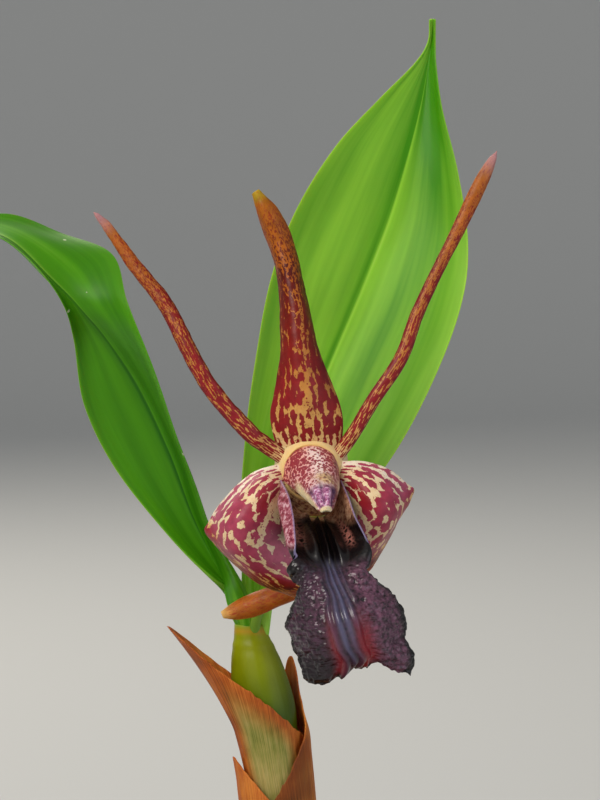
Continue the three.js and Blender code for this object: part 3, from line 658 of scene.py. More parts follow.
@dataclass(frozen=True)
class ColumnSkin(Finish):
    """Waxy column: pinkish white under dense crimson dots; lilac round the anther.

    The crest has a painted highlight, the right side painted shade, and the creases round the
    anther a purple painted shadow.
    """

    roughness: float = 0.38
    glow: float = 0.25
    relief: Pair = (0.4, 0.1)

    def paint(self, new: Adder) -> Painted:
        """Builds the dots, the yellow foot, the cap, the tooth and the tip, with a painted
        highlight on the crest, painted shade down the right side and painted shadow in the cap's
        creases.

        Args:
            new: Adds a node to the material's tree.

        Returns:
            The colour and the height.
        """
        waver = new("TexNoise", {"Scale": 1500, "Detail": 3})
        bent = new("VectorMath MULTIPLY_ADD", (waver.outputs["Color"], SWAY, "place"))
        # Dots about 0.35 mm across, which run together where the mark crowd is high.
        cells = new("TexVoronoi", {"Vector": bent, "Scale": 2500})
        drift = new("TexNoise", {"Scale": 420, "Detail": 1})
        gate = new("Math MULTIPLY_ADD", (drift, 0.5, "crowd"))
        edge = new("Math SUBTRACT", (gate, cells))
        dotted = new("MapRange", (edge, -0.05, 0.05, 0, 0.92))
        ground = new("ValToRGB", ("share",), (
            (0, "#dba23e"), (0.09, "#dd9a56"), (0.18, "#de9480"), (0.45, "#e2a8a4"), (0.75, "#ecc8c8"),
            (1, "#e8d0c0"),
        ))
        # Painted highlight: the ground pales towards white down the crest.
        ground = new("MixRGB", ("crest", ground, "#f6e2dc"))
        colour = new("MixRGB", (dotted, ground, "#8c1630"))
        # Painted shade: dark maroon down the right side.
        colour = new("MixRGB", ("flank", colour, "#6e1c2e"))
        patchy = {"Scale": 1900, "Detail": 2, "Roughness": 0.6}
        blurred = new("TexNoise", patchy)
        tan = new("ValToRGB", (blurred,), ((0.4, "#7a4a3c"), (0.52, "#c8a070"), (0.65, "#dcc090")))
        lilac = new("ValToRGB", (blurred,), ((0.38, "#7e3a68"), (0.5, "#b4709c"), (0.64, "#e4c4dc")))
        # The purple is painted shadow in the creases round the anther; tan, lilac and cream are its own.
        for name, shade in (("tan", tan), ("lilac", lilac), ("purple", "#34143a"), ("cream", "#f0dcb0")):
            colour = new("MixRGB", (name, colour, shade))
        return colour, waver


@dataclass(frozen=True)
class LipSkin(Finish):
    """Fleshy lip: blackish purple, wet and glossy, with a lilac painted sheen on its warts."""

    roughness: float = 0.45
    ior: float = 1.38
    glow: float = 0.03
    coat: float = 0.55
    film: float = 0.16
    relief: Pair = (0.5, 0.12)

    def paint(self, new: Adder) -> Painted:
        """Builds the black flesh, the crimson valleys and the netted walls, with painted sheen
        on the warts and the middle ridges, and a painted highlight along the lobes' margins.

        Args:
            new: Adds a node to the material's tree.

        Returns:
            The colour and the height.
        """
        patchy = new("TexNoise", {"Scale": 1500, "Detail": 4, "Roughness": 0.65})
        # Painted sheen: a patchy rosy lilac over the black flesh, where the bloom mark is high.
        bloomed = new("MapRange", (patchy, 0.32, 0.6))
        weight = new("Math MULTIPLY", (bloomed, "bloom"))
        rosy = new("MixRGB", ("rosy", "#45283c", "#744a60"))
        colour = new("MixRGB", (weight, "#060204", rosy))
        # Painted sheen: blue grey on the middle ridges.
        colour = new("MixRGB", ("steel", colour, "#5c5c7c"))
        colour = new("MixRGB", ("crimson", colour, "#8c1a24"))
        # The throat's net of thin tan lines has meshes of about 0.6 mm.
        bent = new("VectorMath MULTIPLY_ADD", (patchy.outputs["Color"], SWAY, "place"))
        meshes = new("TexVoronoi", {"Vector": bent, "Scale": 1500}, feature="DISTANCE_TO_EDGE")
        thin = new("MapRange", (meshes, 0.24, 0.06))
        netted = new("Math MULTIPLY", (thin, "pink"))
        tan = new("ValToRGB", (patchy,), ((0.38, "#6e342c"), (0.48, "#c88c6c"), (0.62, "#eec49e")))
        wine = new("ValToRGB", (patchy,), ((0.36, "#6a1a2c"), (0.48, "#9c4458"), (0.62, "#d4a8b0")))
        colour = new("MixRGB", (netted, colour, "#b87468"))
        # The lilac is a painted highlight along the margins; tan and wine are the lip's own colours.
        for name, shade in (("tan", tan), ("wine", wine), ("lilac", "#8478a0")):
            colour = new("MixRGB", (name, colour, shade))
        warts = new("TexVoronoi", {"Scale": 2300}, feature="SMOOTH_F1")
        return colour, new("Math MULTIPLY", (warts, -1))


@dataclass(frozen=True)
class BulbSkin(Finish):
    """Pseudobulb: smooth waxy skin with faint lengthwise furrows, yellow at its neck."""

    top: str = "#8c9402"
    middle: str = "#466200"
    foot: str = "#4c5a0c"

    def paint(self, new: Adder) -> Painted:
        """Builds the greens along the bulb, the golden ring at its neck and the furrows, and the
        painted shade down one side.

        Args:
            new: Adds a node to the material's tree.

        Returns:
            The colour and the height.
        """
        base = new("ValToRGB", ("share",), (
            (0, self.foot), (0.4, self.middle), (0.72, self.middle), (0.93, self.top), (0.965, self.top),
            (0.98, "#b08c1c"), (1, "#7a9a20"),
        ))
        cloud = new("TexNoise", {"Scale": 160, "Detail": 3})
        tone = new("ValToRGB", (cloud,), ((0.3, 0.35), (0.7, 0.65)))
        colour = new("MixRGB", (0.5, base, tone), blend_type="OVERLAY")
        colour = new("MixRGB", ("crease", colour, "#4a3c1c"))
        # Painted shade: the green goes towards a dark olive.
        colour = new("MixRGB", ("shade", colour, "#1c2600"))
        round_way = new("Math MULTIPLY", ("turn", 9))
        lines = new("CombineXYZ", (round_way, new("Math MULTIPLY", ("share", 2))))
        return colour, new("TexNoise", {"Vector": lines, "Scale": 1.5, "Detail": 3})


@dataclass(frozen=True)
class Papery(Finish):
    """Dry bract tissue: thin, ribbed and fibrous, dull, from greenish beige to orange brown."""

    roughness: float = 0.6
    glow: float = 0.35
    reach: float = 0.6
    relief: Pair = (0.5, 0.2)

    def paint(self, new: Adder) -> Painted:
        """Builds the ribs, the stains and the parts where the green bulb shines through, and the
        painted shadow at the mouth.

        Args:
            new: Adds a node to the material's tree.

        Returns:
            The colour and the height.
        """
        round_way = new("Math MULTIPLY", ("turn", 14))
        lines = new("CombineXYZ", (round_way, "share"))
        ribs = new("TexNoise", {"Vector": lines, "Scale": 2.2, "Detail": 3, "Roughness": 0.6})
        stain = new("TexNoise", {"Scale": 130, "Detail": 4})
        both = new("Math MULTIPLY", (stain, 0.6))
        both = new("Math MULTIPLY_ADD", (ribs, 0.5, both))
        brown = new("ValToRGB", (both,), ((0.38, "#5e2e0c"), (0.52, "#b0581a"), (0.7, "#d88a38")))
        green = new("ValToRGB", (both,), ((0.4, "#5c6a22"), (0.52, "#8a8c44"), (0.66, "#b4a466")))
        colour = new("MixRGB", ("green", brown, green))
        # Painted shadow: dark brown at the mouth.
        return new("MixRGB", ("shade", colour, "#2e1a0a")), ribs


@dataclass(frozen=True)
class StalkSkin(Finish):
    """Waxy stalk: green, flecked with maroon towards the cream cup that carries the flower."""

    glow: float = 0.2

    def paint(self, new: Adder) -> Painted:
        """Builds the greens, the flecks and the cream cup with its golden inner rim.

        Args:
            new: Adds a node to the material's tree.

        Returns:
            The colour and the height.
        """
        base = new("ValToRGB", ("share",), (
            (0, "#6c9a1c"), (0.5, "#9a9a4a"), (0.8, "#d8ba80"), (0.88, "#eed8a8"), (0.94, "#eccb8c"),
            (1, "#dfa64c"),
        ))
        cells = new("TexVoronoi", {"Scale": 900})
        flecks = new("MapRange", (cells, 0.3, 0.2))
        weight = new("ValToRGB", ("share",), ((0.3, 0), (0.55, 0.7), (0.78, 0.6), (0.84, 0)))
        some = new("Math MULTIPLY", (flecks, weight))
        colour = new("MixRGB", (some, base, "#8a3038"))
        return colour, new("TexNoise", {"Scale": 2000, "Detail": 2})


@dataclass(frozen=True)
class Terracotta(Finish):
    """Fired clay, thrown and unglazed: matt, fine sandy grain, pale lime bloom near the rim."""

    roughness: float = 0.85
    ior: float = 1.5
    glow: float = 0.0
    relief: Pair = (0.4, 0.2)

    def paint(self, new: Adder) -> Painted:
        """Builds the clay's clouds, its grit, the lime bloom and the turning marks.

        Args:
            new: Adds a node to the material's tree.

        Returns:
            The colour and the height.
        """
        cloud = new("TexNoise", {"Scale": 35, "Detail": 6, "Roughness": 0.6})
        clay = new("ValToRGB", (cloud,), ((0.3, "#9c5431"), (0.5, "#b5683f"), (0.72, "#c98055")))
        grit = new("TexNoise", {"Scale": 1600, "Detail": 2})
        speck = new("MapRange", (grit, 0.58, 0.68, 0, 0.5))
        clay = new("MixRGB", (speck, clay, "#d9a37c"))
        height = new("SeparateXYZ", ("place",)).outputs["Z"]
        high = new("MapRange", (height, 0.03, 0.075, 0, 0.9))
        lime = new("TexNoise", {"Scale": 70, "Detail": 6, "Roughness": 0.7})
        patch = new("MapRange", (lime, 0.5, 0.75))
        bloom = new("Math MULTIPLY", (high, patch))
        colour = new("MixRGB", (bloom, clay, "#dcc7b4"))
        # Turning marks about 1.5 mm apart, left by the rib that shaped the wall.
        turned = {"Scale": 105, "Distortion": 1.5, "Detail": 2}
        rings = new("TexWave", turned, bands_direction="Z").outputs["Fac"]
        return colour, new("Math MULTIPLY_ADD", (rings, 0.35, grit))


@dataclass(frozen=True)
class BarkSkin(Finish):
    """Conifer bark chips: rough, layered and dull, red brown to grey."""

    roughness: float = 0.9
    gloss: float = 0.25
    glow: float = 0.0
    relief: Pair = (0.8, 0.6)

    def paint(self, new: Adder) -> Painted:
        """Builds each chip's own brown, its layers and its crumbly surface.

        Args:
            new: Adds a node to the material's tree.

        Returns:
            The colour and the height.
        """
        browns = ((0, "#3f2616"), (0.4, "#6a3d22"), (0.7, "#8a5730"), (1, "#7d6a58"))
        own = new("ValToRGB", ("chip",), browns)
        flat = new("VectorMath MULTIPLY", ("place", (160, 160, 900)))
        layers = new("TexNoise", {"Vector": flat, "Scale": 1, "Detail": 5, "Roughness": 0.7})
        tone = new("ValToRGB", (layers,), ((0.3, 0.12), (0.7, 0.75)))
        return new("MixRGB", (0.7, own, tone), blend_type="OVERLAY"), layers


@dataclass(frozen=True)
class RhizomeSkin(Finish):
    """Creeping stem in dry fibrous scales, and roots in a spongy whitish velamen."""

    roughness: float = 0.75
    glow: float = 0.05
    relief: Pair = (0.7, 0.3)

    def paint(self, new: Adder) -> Painted:
        """Builds the brown scales with pale mouths, and the corky roots.

        Args:
            new: Adds a node to the material's tree.

        Returns:
            The colour and the height.
        """
        fibre = new("TexNoise", {"Scale": 500, "Detail": 5, "Roughness": 0.65})
        brown = new("ValToRGB", (fibre,), ((0.3, "#4a2a14"), (0.5, "#7c4b24"), (0.72, "#a87742")))
        scale = new("MixRGB", ("mouth", brown, "#c59a62"))
        cork = new("ValToRGB", (fibre,), ((0.3, "#8f8268"), (0.7, "#d8d0b8")))
        return new("MixRGB", ("root", scale, cork)), fibre


# Putting pieces into the scene


def put(
    name: str, skin: Skin, node: str, material: Material, flat: bool = False
) -> None:
    """Makes a mesh object of a skin and lets it stand for a node of the model.

    Args:
        name: The piece's name.
        skin: Its surface, in millimetres in the pot's frame.
        node: The node that it replaces.
        material: Its finish.
        flat: Whether its faces stay flat-shaded.
    """
    mesh = bpy.data.meshes.new(name)
    loops = np.concatenate([skin.quads.reshape(-1), skin.triangles.reshape(-1)])
    sizes = np.concatenate([np.full(len(skin.quads), 4), np.full(len(skin.triangles), 3)])
    mesh.vertices.add(len(skin.points))
    mesh.vertices.foreach_set("co", (skin.points * MM).astype(np.float32).reshape(-1))
    mesh.loops.add(len(loops))
    mesh.loops.foreach_set("vertex_index", loops.astype(np.int32))
    mesh.polygons.add(len(sizes))
    mesh.polygons.foreach_set("loop_start", (np.cumsum(sizes) - sizes).astype(np.int32))
    mesh.polygons.foreach_set("use_smooth", np.full(len(sizes), not flat))
    mesh.update(calc_edges=True)
    mesh.validate()
    for key, values in skin.marks.items():
        mesh.attributes.new(key, "FLOAT", "POINT").data.foreach_set("value", values.astype(np.float32))
    mesh.materials.append(material)
    settle(name, mesh, node)


def placed(name: str, data: bpy.types.ID) -> bpy.types.Object:
    """Makes an object of a mesh, a light or a camera, and links it into the scene.

    Args:
        name: The object's name.
        data: What it holds.

    Returns:
        The object.
    """
    item = bpy.data.objects.new(name, data)
    bpy.context.scene.collection.objects.link(item)
    return item


def settle(name: str, mesh: Mesh, node: str) -> None:
    """Puts a finished mesh into the scene in place of a node of the model.

    Args:
        name: The piece's name.
        mesh: The mesh, with its material.
        node: The node that it replaces.
    """
    piece = placed(name, mesh)
    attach(piece, "root")
    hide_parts(node)
    size = [round(d / MM, 1) for d in piece.dimensions]
    LOG.info("%s: %d faces, %s mm across", name, len(mesh.polygons), size)


def shot(skin: Skin) -> Skin:
    """Returns a skin moved from the shoot's frame to the pot's."""
    return replace(skin, points=in_shoot(skin.points))


# Pot, bark and rhizome

BARK_LEVEL = 62.0
RHIZOME_PATH = [
    [-28.5, 21, 64], [-21, 17.6, 66.2], [-12, 12.4, 67.4], [-2, 7, 68.8], [4.4, 4.2, 73.2], [6, 4, 79.4],
]
# Each root: where it leaves the rhizome, its compass angle in degrees and its reach.
ROOTS = [
    (0.12, 205, 7), (0.24, 80, 9), (0.36, 250, 14), (0.48, 95, 13), (0.58, 285, 16), (0.68, 20, 15),
    (0.74, 225, 14),
]


def pot_inside(z: Array) -> Array:
    """Returns the pot's inner radius at heights: from 28 mm at the floor to 42.5 mm at the rim."""
    return 28 + (z - 5) * 14.5 / 67


@dataclass
class Pot:
    """A tapered clay pot: a rolled band at the rim, and four drain holes in the floor.

    Attributes:
        sides: How many points go round.
        profile: Radius and height along its section, from below, over the rim, to the floor.
        drain_radius: The holes' radius.
        drain_circle: How far their middles lie from the pot's.
        drill: Heights, and how much wider than the hole the drill is there.
        crease: The angle in degrees from which edges stay sharp.
    """

    sides: int = 192
    profile: tuple = (
        (15, 0), (22, 0), (29.4, 0), (30.3, 0.1), (30.8, 0.5), (31.1, 1.1), (34.5, 14), (38, 28), (41.6, 42),
        (44.7, 54), (45.1, 55.4), (45.35, 56), (45.7, 56.3), (46.5, 56.4), (47.1, 56.7), (47.45, 57.4),
        (47.55, 58.4), (47.7, 62), (47.85, 67), (47.9, 69.6), (47.75, 70.8), (47.3, 71.6), (46.5, 71.95),
        (45.4, 72), (44.3, 71.9), (43.3, 71.5), (42.7, 70.8), (42.4, 69.6), (40.5, 62), (37, 46.5),
        (33.1, 28.5), (30, 14.2), (28.3, 6.6), (27.5, 5.4), (26.4, 5), (24, 5), (10, 5),
    )
    drain_radius: float = 4.0
    drain_circle: float = 18.0
    drill: tuple = ((-4, 1.3), (-0.6, 1.3), (0.5, 0), (4.6, 0), (5.6, 0.9), (9, 0.9))
    crease: float = 40.0

    def body(self) -> Skin:
        """Turns the profile round: radius (1 + 0.002 cos(2 turn)) plus a slight noise of the hand.

        Returns:
            The body without its holes.
        """
        turn = turns(self.sides)
        radius, height = np.array(self.profile, float).T[..., None]
        out = joined(radius * np.cos(turn), radius * np.sin(turn), height)
        hand = 1 + 0.002 * np.cos(2 * turn + 0.6) + 0.0016 * noise(out, 22, 2)
        return wrap(out * joined(hand, hand, 1), {})

    def drilled(self) -> Mesh:
        """Cuts the drain holes out of the body.

        Returns:
            The mesh with its holes.
        """
        turn = turns(40)
        z, wider = np.array(self.drill).T[..., None]
        radius = self.drain_radius + wider
        drills = []
        for k in range(4):
            at = math.pi / 4 + k * math.pi / 2
            x = self.drain_circle * math.cos(at) + radius * np.cos(turn)
            y = self.drain_circle * math.sin(at) + radius * np.sin(turn)
            drills.append(wrap(joined(x, y, z), {}))
        parts = []
        for part, skin in (("body", self.body()), ("drills", merged(drills))):
            mesh = bpy.data.meshes.new(part)
            faces = skin.quads.tolist() + skin.triangles.tolist()
            mesh.from_pydata((skin.points * MM).tolist(), [], faces)
            parts.append(placed(part, mesh))
        cut = parts[0].modifiers.new("holes", "BOOLEAN")
        cut.operation, cut.object, cut.solver = "DIFFERENCE", parts[1], "EXACT"
        result = parts[0].evaluated_get(bpy.context.evaluated_depsgraph_get())
        mesh = bpy.data.meshes.new_from_object(result)
        mesh.name = "clay_pot"
        for part in parts:
            bpy.data.meshes.remove(part.data)
        mesh.polygons.foreach_set("use_smooth", np.ones(len(mesh.polygons), bool))
        mesh.set_sharp_from_angle(angle=math.radians(self.crease))
        return mesh

    def build(self) -> None:
        """Puts the pot in place of its node."""
        mesh = self.drilled()
        mesh.materials.clear()
        mesh.materials.append(Terracotta("terracotta_clay").make())
        settle("clay_pot", mesh, "pot")


@dataclass
class PottingBark:
    """Bark chips: a filled body with loose chips heaped on its top in layers.

    Attributes:
        chips: How many loose chips there are.
        layers: In how many layers.
        sizes: Least and greatest half-length, half-width and half-thickness of a chip.
        bottom: Height of the lowest layer.
        step: Height from layer to layer.
        seed: The chips' random seed.
        floor: Height of the filled body's foot.
        level: Height of its top.
        clearance: How far it stays off the pot's wall.
        margin: How far the chips' middles do, besides a half of their half-length.
    """

    chips: int = 300
    layers: int = 3
    sizes: tuple = ((3.2, 7.2), (2.4, 4.6), (1.1, 2.3))
    bottom: float = 59.2
    step: float = 1.5
    seed: int = 20
    floor: float = 5.4
    level: float = 59.6
    clearance: float = 0.6
    margin: float = 6.3

    def fill(self) -> Skin:
        """Makes the filled body, whose top is rough: level + 0.9 noise.

        Returns:
            The body's skin.
        """
        turn, top = turns(96), np.full(10, self.level)
        z = np.concatenate([[self.floor, self.floor, 6.5, 30, self.level - 2], top])[:, None]
        shrink = np.concatenate([[0.4, 0.97, 1, 1, 1, 0.99], np.linspace(0.94, 0.06, 9)])[:, None]
        radius = (pot_inside(z) - self.clearance) * shrink
        rings = joined(radius * np.cos(turn), radius * np.sin(turn), z)
        rings[5:, :, 2] += 0.9 * noise(rings[5:], 4, 7)
        return wrap(rings, {"chip": 0.1})

    def heap(self) -> Skin:
        """Makes the chips: rough slabs from a cube's 26 points, each turned, tilted and shifted.

        Returns:
            All chips as one skin; each has a number from 0 to 1 of its own in mark chip.
        """
        draw = np.random.default_rng(self.seed)
        n = self.chips
        ticks = np.array([-1, 0, 1])
        grid = np.stack(np.meshgrid(ticks, ticks, ticks, indexing="ij"), axis=-1).reshape(-1, 3)
        keep = np.abs(grid).max(axis=1) > 0.5
        number = (np.cumsum(keep) - 1).reshape(3, 3, 3)
        faces = []
        for axis in range(3):
            for end in (0, 2):
                side = number.take(end, axis)
                corners = [side[:-1, :-1], side[1:, :-1], side[1:, 1:], side[:-1, 1:]]
                quads = np.stack(corners, axis=-1).reshape(-1, 4)
                faces.append(quads if (end > 0) == (axis != 1) else quads[:, ::-1])
        cube = grid[keep]
        cube = cube * (1 - 0.1 * (np.abs(cube).sum(axis=1, keepdims=True) - 1))
        size = np.stack([draw.uniform(*limits, n) for limits in self.sizes], axis=-1)
        points = (cube[None] + draw.uniform(-0.22, 0.22, (n, len(cube), 3))) * size[:, None]
        tilt = draw.normal(0, 0.3, (2, n))
        spin = draw.uniform(0, 2 * np.pi, n)
        for angle, (a, b) in ((tilt[0], (1, 2)), (tilt[1], (0, 2)), (spin, (0, 1))):
            c, s = np.cos(angle)[:, None], np.sin(angle)[:, None]
            pa, pb = points[..., a].copy(), points[..., b].copy()
            points[..., a], points[..., b] = c * pa - s * pb, s * pa + c * pb
        order, each = np.arange(n), n / self.layers
        share = np.sqrt((order % each + 0.5) / each)
        around = order * np.pi * (3 - math.sqrt(5))
        reach = share * (pot_inside(BARK_LEVEL) - self.margin - 0.5 * size[:, 0])
        height = self.bottom + self.step * np.floor(order / each) + draw.uniform(-0.5, 0.5, n)
        points = points + joined(reach * np.cos(around), reach * np.sin(around), height)[:, None]
        quads = np.concatenate(faces) + (order * len(cube))[:, None, None]
        marks = {"chip": np.repeat(draw.uniform(0, 1, n), len(cube))}
        no_triangles = np.zeros((0, 3), int)
        return Skin(points.reshape(-1, 3), quads.reshape(-1, 4), no_triangles, marks).faced()

    def build(self) -> None:
        """Puts fill and chips in place of the bark's node."""
        finish = BarkSkin("conifer_bark").make()
        put("bark_chips", merged([self.fill(), self.heap()]), "potting_bark", finish, flat=True)


@dataclass
class Rhizome:
    """The creeping stem in overlapping dry scales, with corky roots down into the bark."""

    scales: int = 11
    radius: float = 2.6
    lip: float = 0.9

    def stem(self) -> Skin:
        """Sweeps the scales: radius + lip f^1.3, where f runs from 0 to 1 in each scale.

        Each scale's mouth slants round the stem, and fine ribs run towards it.

        Returns:
            The stem's skin with mark mouth.
        """
        u, turn = np.linspace(0, 1, 330), turns(60)
        path, us = spline(RHIZOME_PATH, u), u[:, None]
        steps = us * self.scales * 0.999
        slant = 0.22 * np.sin(turn + 2.4 * np.floor(steps)) * smooth(0, 0.05, us) * smooth(1, 0.95, us)
        part = np.mod(steps + slant, 1)
        rise = part**1.3 * smooth(1, 0.93, part)
        wide = self.radius + self.lip * rise + 0.12 * np.cos(turn * 13) * part
        wide = wide * smooth(-0.006, 0.012, us)
        rings = ovals(path, wide, wide, frames(path, (0.5, 1, 0)), turn)
        return wrap(rings, {"mouth": smooth(0.7, 0.95, part) * 0.8, "root": 0.0})

    def root(self, leaves: float, compass: float, reach: float) -> Skin:
        """Sweeps one root out of the stem and down into the bark.

        Args:
            leaves: Where along the stem it starts.
            compass: Its angle seen from above, in degrees.
            reach: How far out it goes.

        Returns:
            The root's skin.
        """
        start = spline(RHIZOME_PATH, np.array([leaves]))[0]
        out = np.array([math.cos(math.radians(compass)), math.sin(math.radians(compass)), 0])
        shares = ((0, start[2]), (0.35, start[2] - 0.3), (0.72, BARK_LEVEL + 1.2), (1, BARK_LEVEL - 9))
        path = np.stack([start * [1, 1, 0] + out * reach * s + [0, 0, z] for s, z in shares])
        u = np.linspace(0, 1, 60)
        line = spline(path, u)
        sway = np.stack([noise(line, 3, k) for k in (1, 2, 3)], axis=-1)
        line = line + 0.25 * smooth(0, 0.3, u)[:, None] * sway
        thick = 0.92 * (1 - 0.3 * u) * (1 + 0.1 * noise(line, 1.6, 4))
        skin = sweep(line, thick, thick, (out[1], -out[0], 0), 20)
        return replace(skin, marks={"root": np.ones(len(skin.points))})

    def build(self) -> None:
        """Puts stem and roots in place of the rhizome's node."""
        whole = merged([self.stem()] + [self.root(*r) for r in ROOTS])
        put("rhizome_and_roots", whole, "rhizome", RhizomeSkin("scaly_rhizome").make())


@dataclass
class OldPseudobulb:
    """The leafless older pseudobulb: short, shrunken into furrows, with a scarred top."""

    foot: Triple = (-23, 18.6, 69.6)
    length: float = 24.0
    radii: tuple = ((0, 2.6), (4, 4.4), (10, 5.2), (16, 4.6), (21, 2.9), (23, 2), (24, 1.5))
    furrows: int = 9

    def build(self) -> None:
        """Makes rings r (1 - 0.2 |cos(turn furrows / 2)|^5 sin(pi share)^0.7), wavering by noise."""
        z, turn = np.linspace(0, self.length, 130)[:, None], turns(144)
        share = z / self.length
        swell = np.sin(np.pi * share)
        waver = 0.5 * noise(joined(np.cos(turn), np.sin(turn), z / 9), 0.9, 6)
        crease = np.abs(np.cos((turn + 0.25 * waver) * self.furrows / 2)) ** 5
        radius = stations(self.radii, z) * (1 - 0.2 * crease * swell**0.7) * (1 + 0.04 * waver)
        radius = radius + 0.25 * bell(z, 22.6, 0.35) - 0.2 * bell(z, 21.9, 0.3)
        rings = joined(-0.08 * z + radius * np.cos(turn), 0.05 * z + radius * np.sin(turn), z)
        skin = wrap(rings + self.foot, {"share": share, "turn": np.sin(turn), "crease": crease * swell})
        browns = {"top": "#8c8444", "middle": "#75803a", "foot": "#7a6430"}
        finish = BulbSkin("shrunken_bulb_skin", roughness=0.55, relief=(0.9, 0.2), **browns)
        put("old_bulb_skin", skin, "pseudobulb_old", finish.make())


# Pseudobulb


def bulb_axis(z: Array) -> Array:
    """Returns the axis at heights z: x = -0.113 z - 0.0009 z^2, y = -2 (z / length)^3."""
    return np.stack([-0.113 * z - 0.0009 * z * z, -2 * (z / BULB_LENGTH) ** 3, z], axis=-1)


def around_bulb(z: Array, radius: Array, angle: Array) -> Array:
    """Returns the points at a radius and an angle about the pseudobulb's axis at heights z."""
    return bulb_axis(z) + joined(radius * np.cos(angle), radius * np.sin(angle), 0)


@dataclass
class Pseudobulb:
    """The growth's swollen stem, from the rhizome to the ring at its neck."""

    sides: int = 96
    rows: int = 150
    radii: tuple = (
        (0, 2.9), (8, 3.1), (20, 3.2), (24, 3.45), (28, 3.75), (32, 4.15),
        (35, 4.35), (38, 4.1), (41.5, 3.45), (43.6, 2.75), (45, 2.4), (46.3, 2.1),
    )

    def build(self) -> None:
        """Makes rings of radius r(z) with faint furrows: r (1 + 0.012 noise of the turn)."""
        top = self.radii[-1][0]
        z, turn = np.linspace(0.2, top, self.rows)[:, None], turns(self.sides)
        round_way = joined(3 * np.cos(turn), 3 * np.sin(turn), z / 30)
        radius = stations(self.radii, z) * (1 + 0.012 * noise(round_way, 0.7, 3))
        radius = radius + 0.12 * bell(z, 43.4, 0.5)
        # Painted shade: darker down the right side, below the neck.
        shade = 0.4 * smooth(0, 1, np.cos(turn)) * smooth(45, 42, z)
        marks = {"share": z / top, "turn": np.sin(turn), "shade": shade}
        skin = shot(wrap(around_bulb(z, radius, turn), marks))
        finish = BulbSkin("living_bulb_skin", roughness=0.4, glow=0.1, reach=1.5, relief=(0.3, 0.2))
        put("pseudobulb_skin", skin, "pseudobulb", finish.make())


# Sheaths


@dataclass
class Sheath:
    """A papery cup round the pseudobulb, with a slanting mouth and a free tip.

    Attributes:
        name: The node that it stands for.
        foot: Height of its foot.
        facing: Where its tip points, in degrees about the pseudobulb.
        mouth: Lowest height, rise, its power, the tip's height and its power.
        inside: Stations of the inner radius.
        flare: Height where the tip leaves the pseudobulb, its reach and its power.
        greens: Share of greenish tissue.
        shaded: How dark its mouth is, away from the tip, as painted shadow.
    """

    name: str
    foot: float
    facing: float
    mouth: tuple[float, ...]
    inside: tuple
    flare: Triple
    greens: float
    shaded: float = 0.0
    columns: int = 160
    rows: int = 70

    def turned(self, s: Array) -> Array:
        """Returns the turn at places round it; the columns crowd towards the tip."""
        return np.pi * s - 0.72 * np.sin(np.pi * s)

    def face(self, s: Array, t: Array, outside: Array) -> Array:
        """One face of the sheath.

        The mouth is low + rise n^p + tip n^q, where n = (1 + cos(turn)) / 2 is how near the
        tip a column is; the radius is the inner one plus reach lift^power n^2.

        Args:
            s: Places round it, from -1 to 1, with the tip at 0.
            t: Places from the foot, 0, to the mouth, 1.
            outside: How far the face stands outside the inner radius.

        Returns:
            Points in the shoot's frame.
        """
        low, rise, power, tip, sharp = self.mouth
        start, reach, bend = self.flare
        turn = self.turned(s)
        near = (1 + np.cos(turn)) / 2
        torn = 0.25 * noise(joined(turn * 5, 0, 0), 0.5, 9)
        top = low + rise * near**power + tip * near**sharp + torn * (1 - near**4)
        z = self.foot + (top - self.foot) * t
        lift = np.clip((z - start) / (low + rise + tip - start), 0, 1)
        rib = 0.05 * np.cos(turn * 26) * (1 - 0.5 * t)
        radius = stations(self.inside, z) + reach * lift**bend * near**2 + outside + rib
        return around_bulb(z, radius, math.radians(self.facing) + turn)

    def build(self, material: Material) -> None:
        """Joins the outer face, over the mouth, to the inner face.

        Args:
            material: The papery finish.
        """
        s = (2 * np.arange(self.columns) / self.columns - 1)[None]
        t = np.linspace(0, 1, self.rows)[:, None]
        half = 0.3 - 0.2 * t**2
        outer, inner = self.face(s, t, 0.3 + half), self.face(s, t, 0.3 - half)
        rings = np.concatenate([outer, inner[::-1]])
        shares = np.concatenate([t, t[::-1]])
        turn = self.turned(s)
        near = (1 + np.cos(turn)) / 2
        green = self.greens * smooth(0.97, 0.6, shares)
        green = green * smooth(0.06, 0.3, near) * smooth(0.97, 0.78, near)
        # Painted shadow: the mouth darkens away from the tip.
        shade = 0.55 * self.shaded * smooth(0.3, 0.8, shares) * smooth(0.9, 0.55, near)
        marks = {"share": shares, "turn": turn, "green": green, "shade": shade}
        put(self.name + "_paper", shot(wrap(rings, marks, Ends.LOOP)), self.name, material)


def build_sheaths() -> None:
    """Builds the three sheaths; lower ones stand outside higher ones."""
    material = Papery("dry_bract").make()
    upper = ((21, 3.5), (24, 3.72), (28, 4.02), (32, 4.42), (35, 4.58), (46, 4.6))
    middle = ((9, 3.4), (15, 3.65), (20, 4.4), (24, 4.75), (28, 5.05), (31, 5.3), (34, 5.05), (42, 5.35))
    lower = ((0, 3.2), (8, 4.2), (15, 4.75), (20, 5.4), (26, 5.25), (29, 5.2))
    Sheath("sheath_upper", 21, 180, (30.5, 10, 0.95, 5.5, 14), upper, (31, 6.7, 1.4), 0.95).build(material)
    Sheath("sheath_middle", 9, 38, (19, 16, 0.9, 6.5, 30), middle, (36, 0.6, 1.2), 0.1, 1).build(material)
    Sheath("sheath_lower", 1, 190, (13, 13.5, 1.2, 1, 20), lower, (24, 0.2, 1), 0.3).build(material)


# Leaves

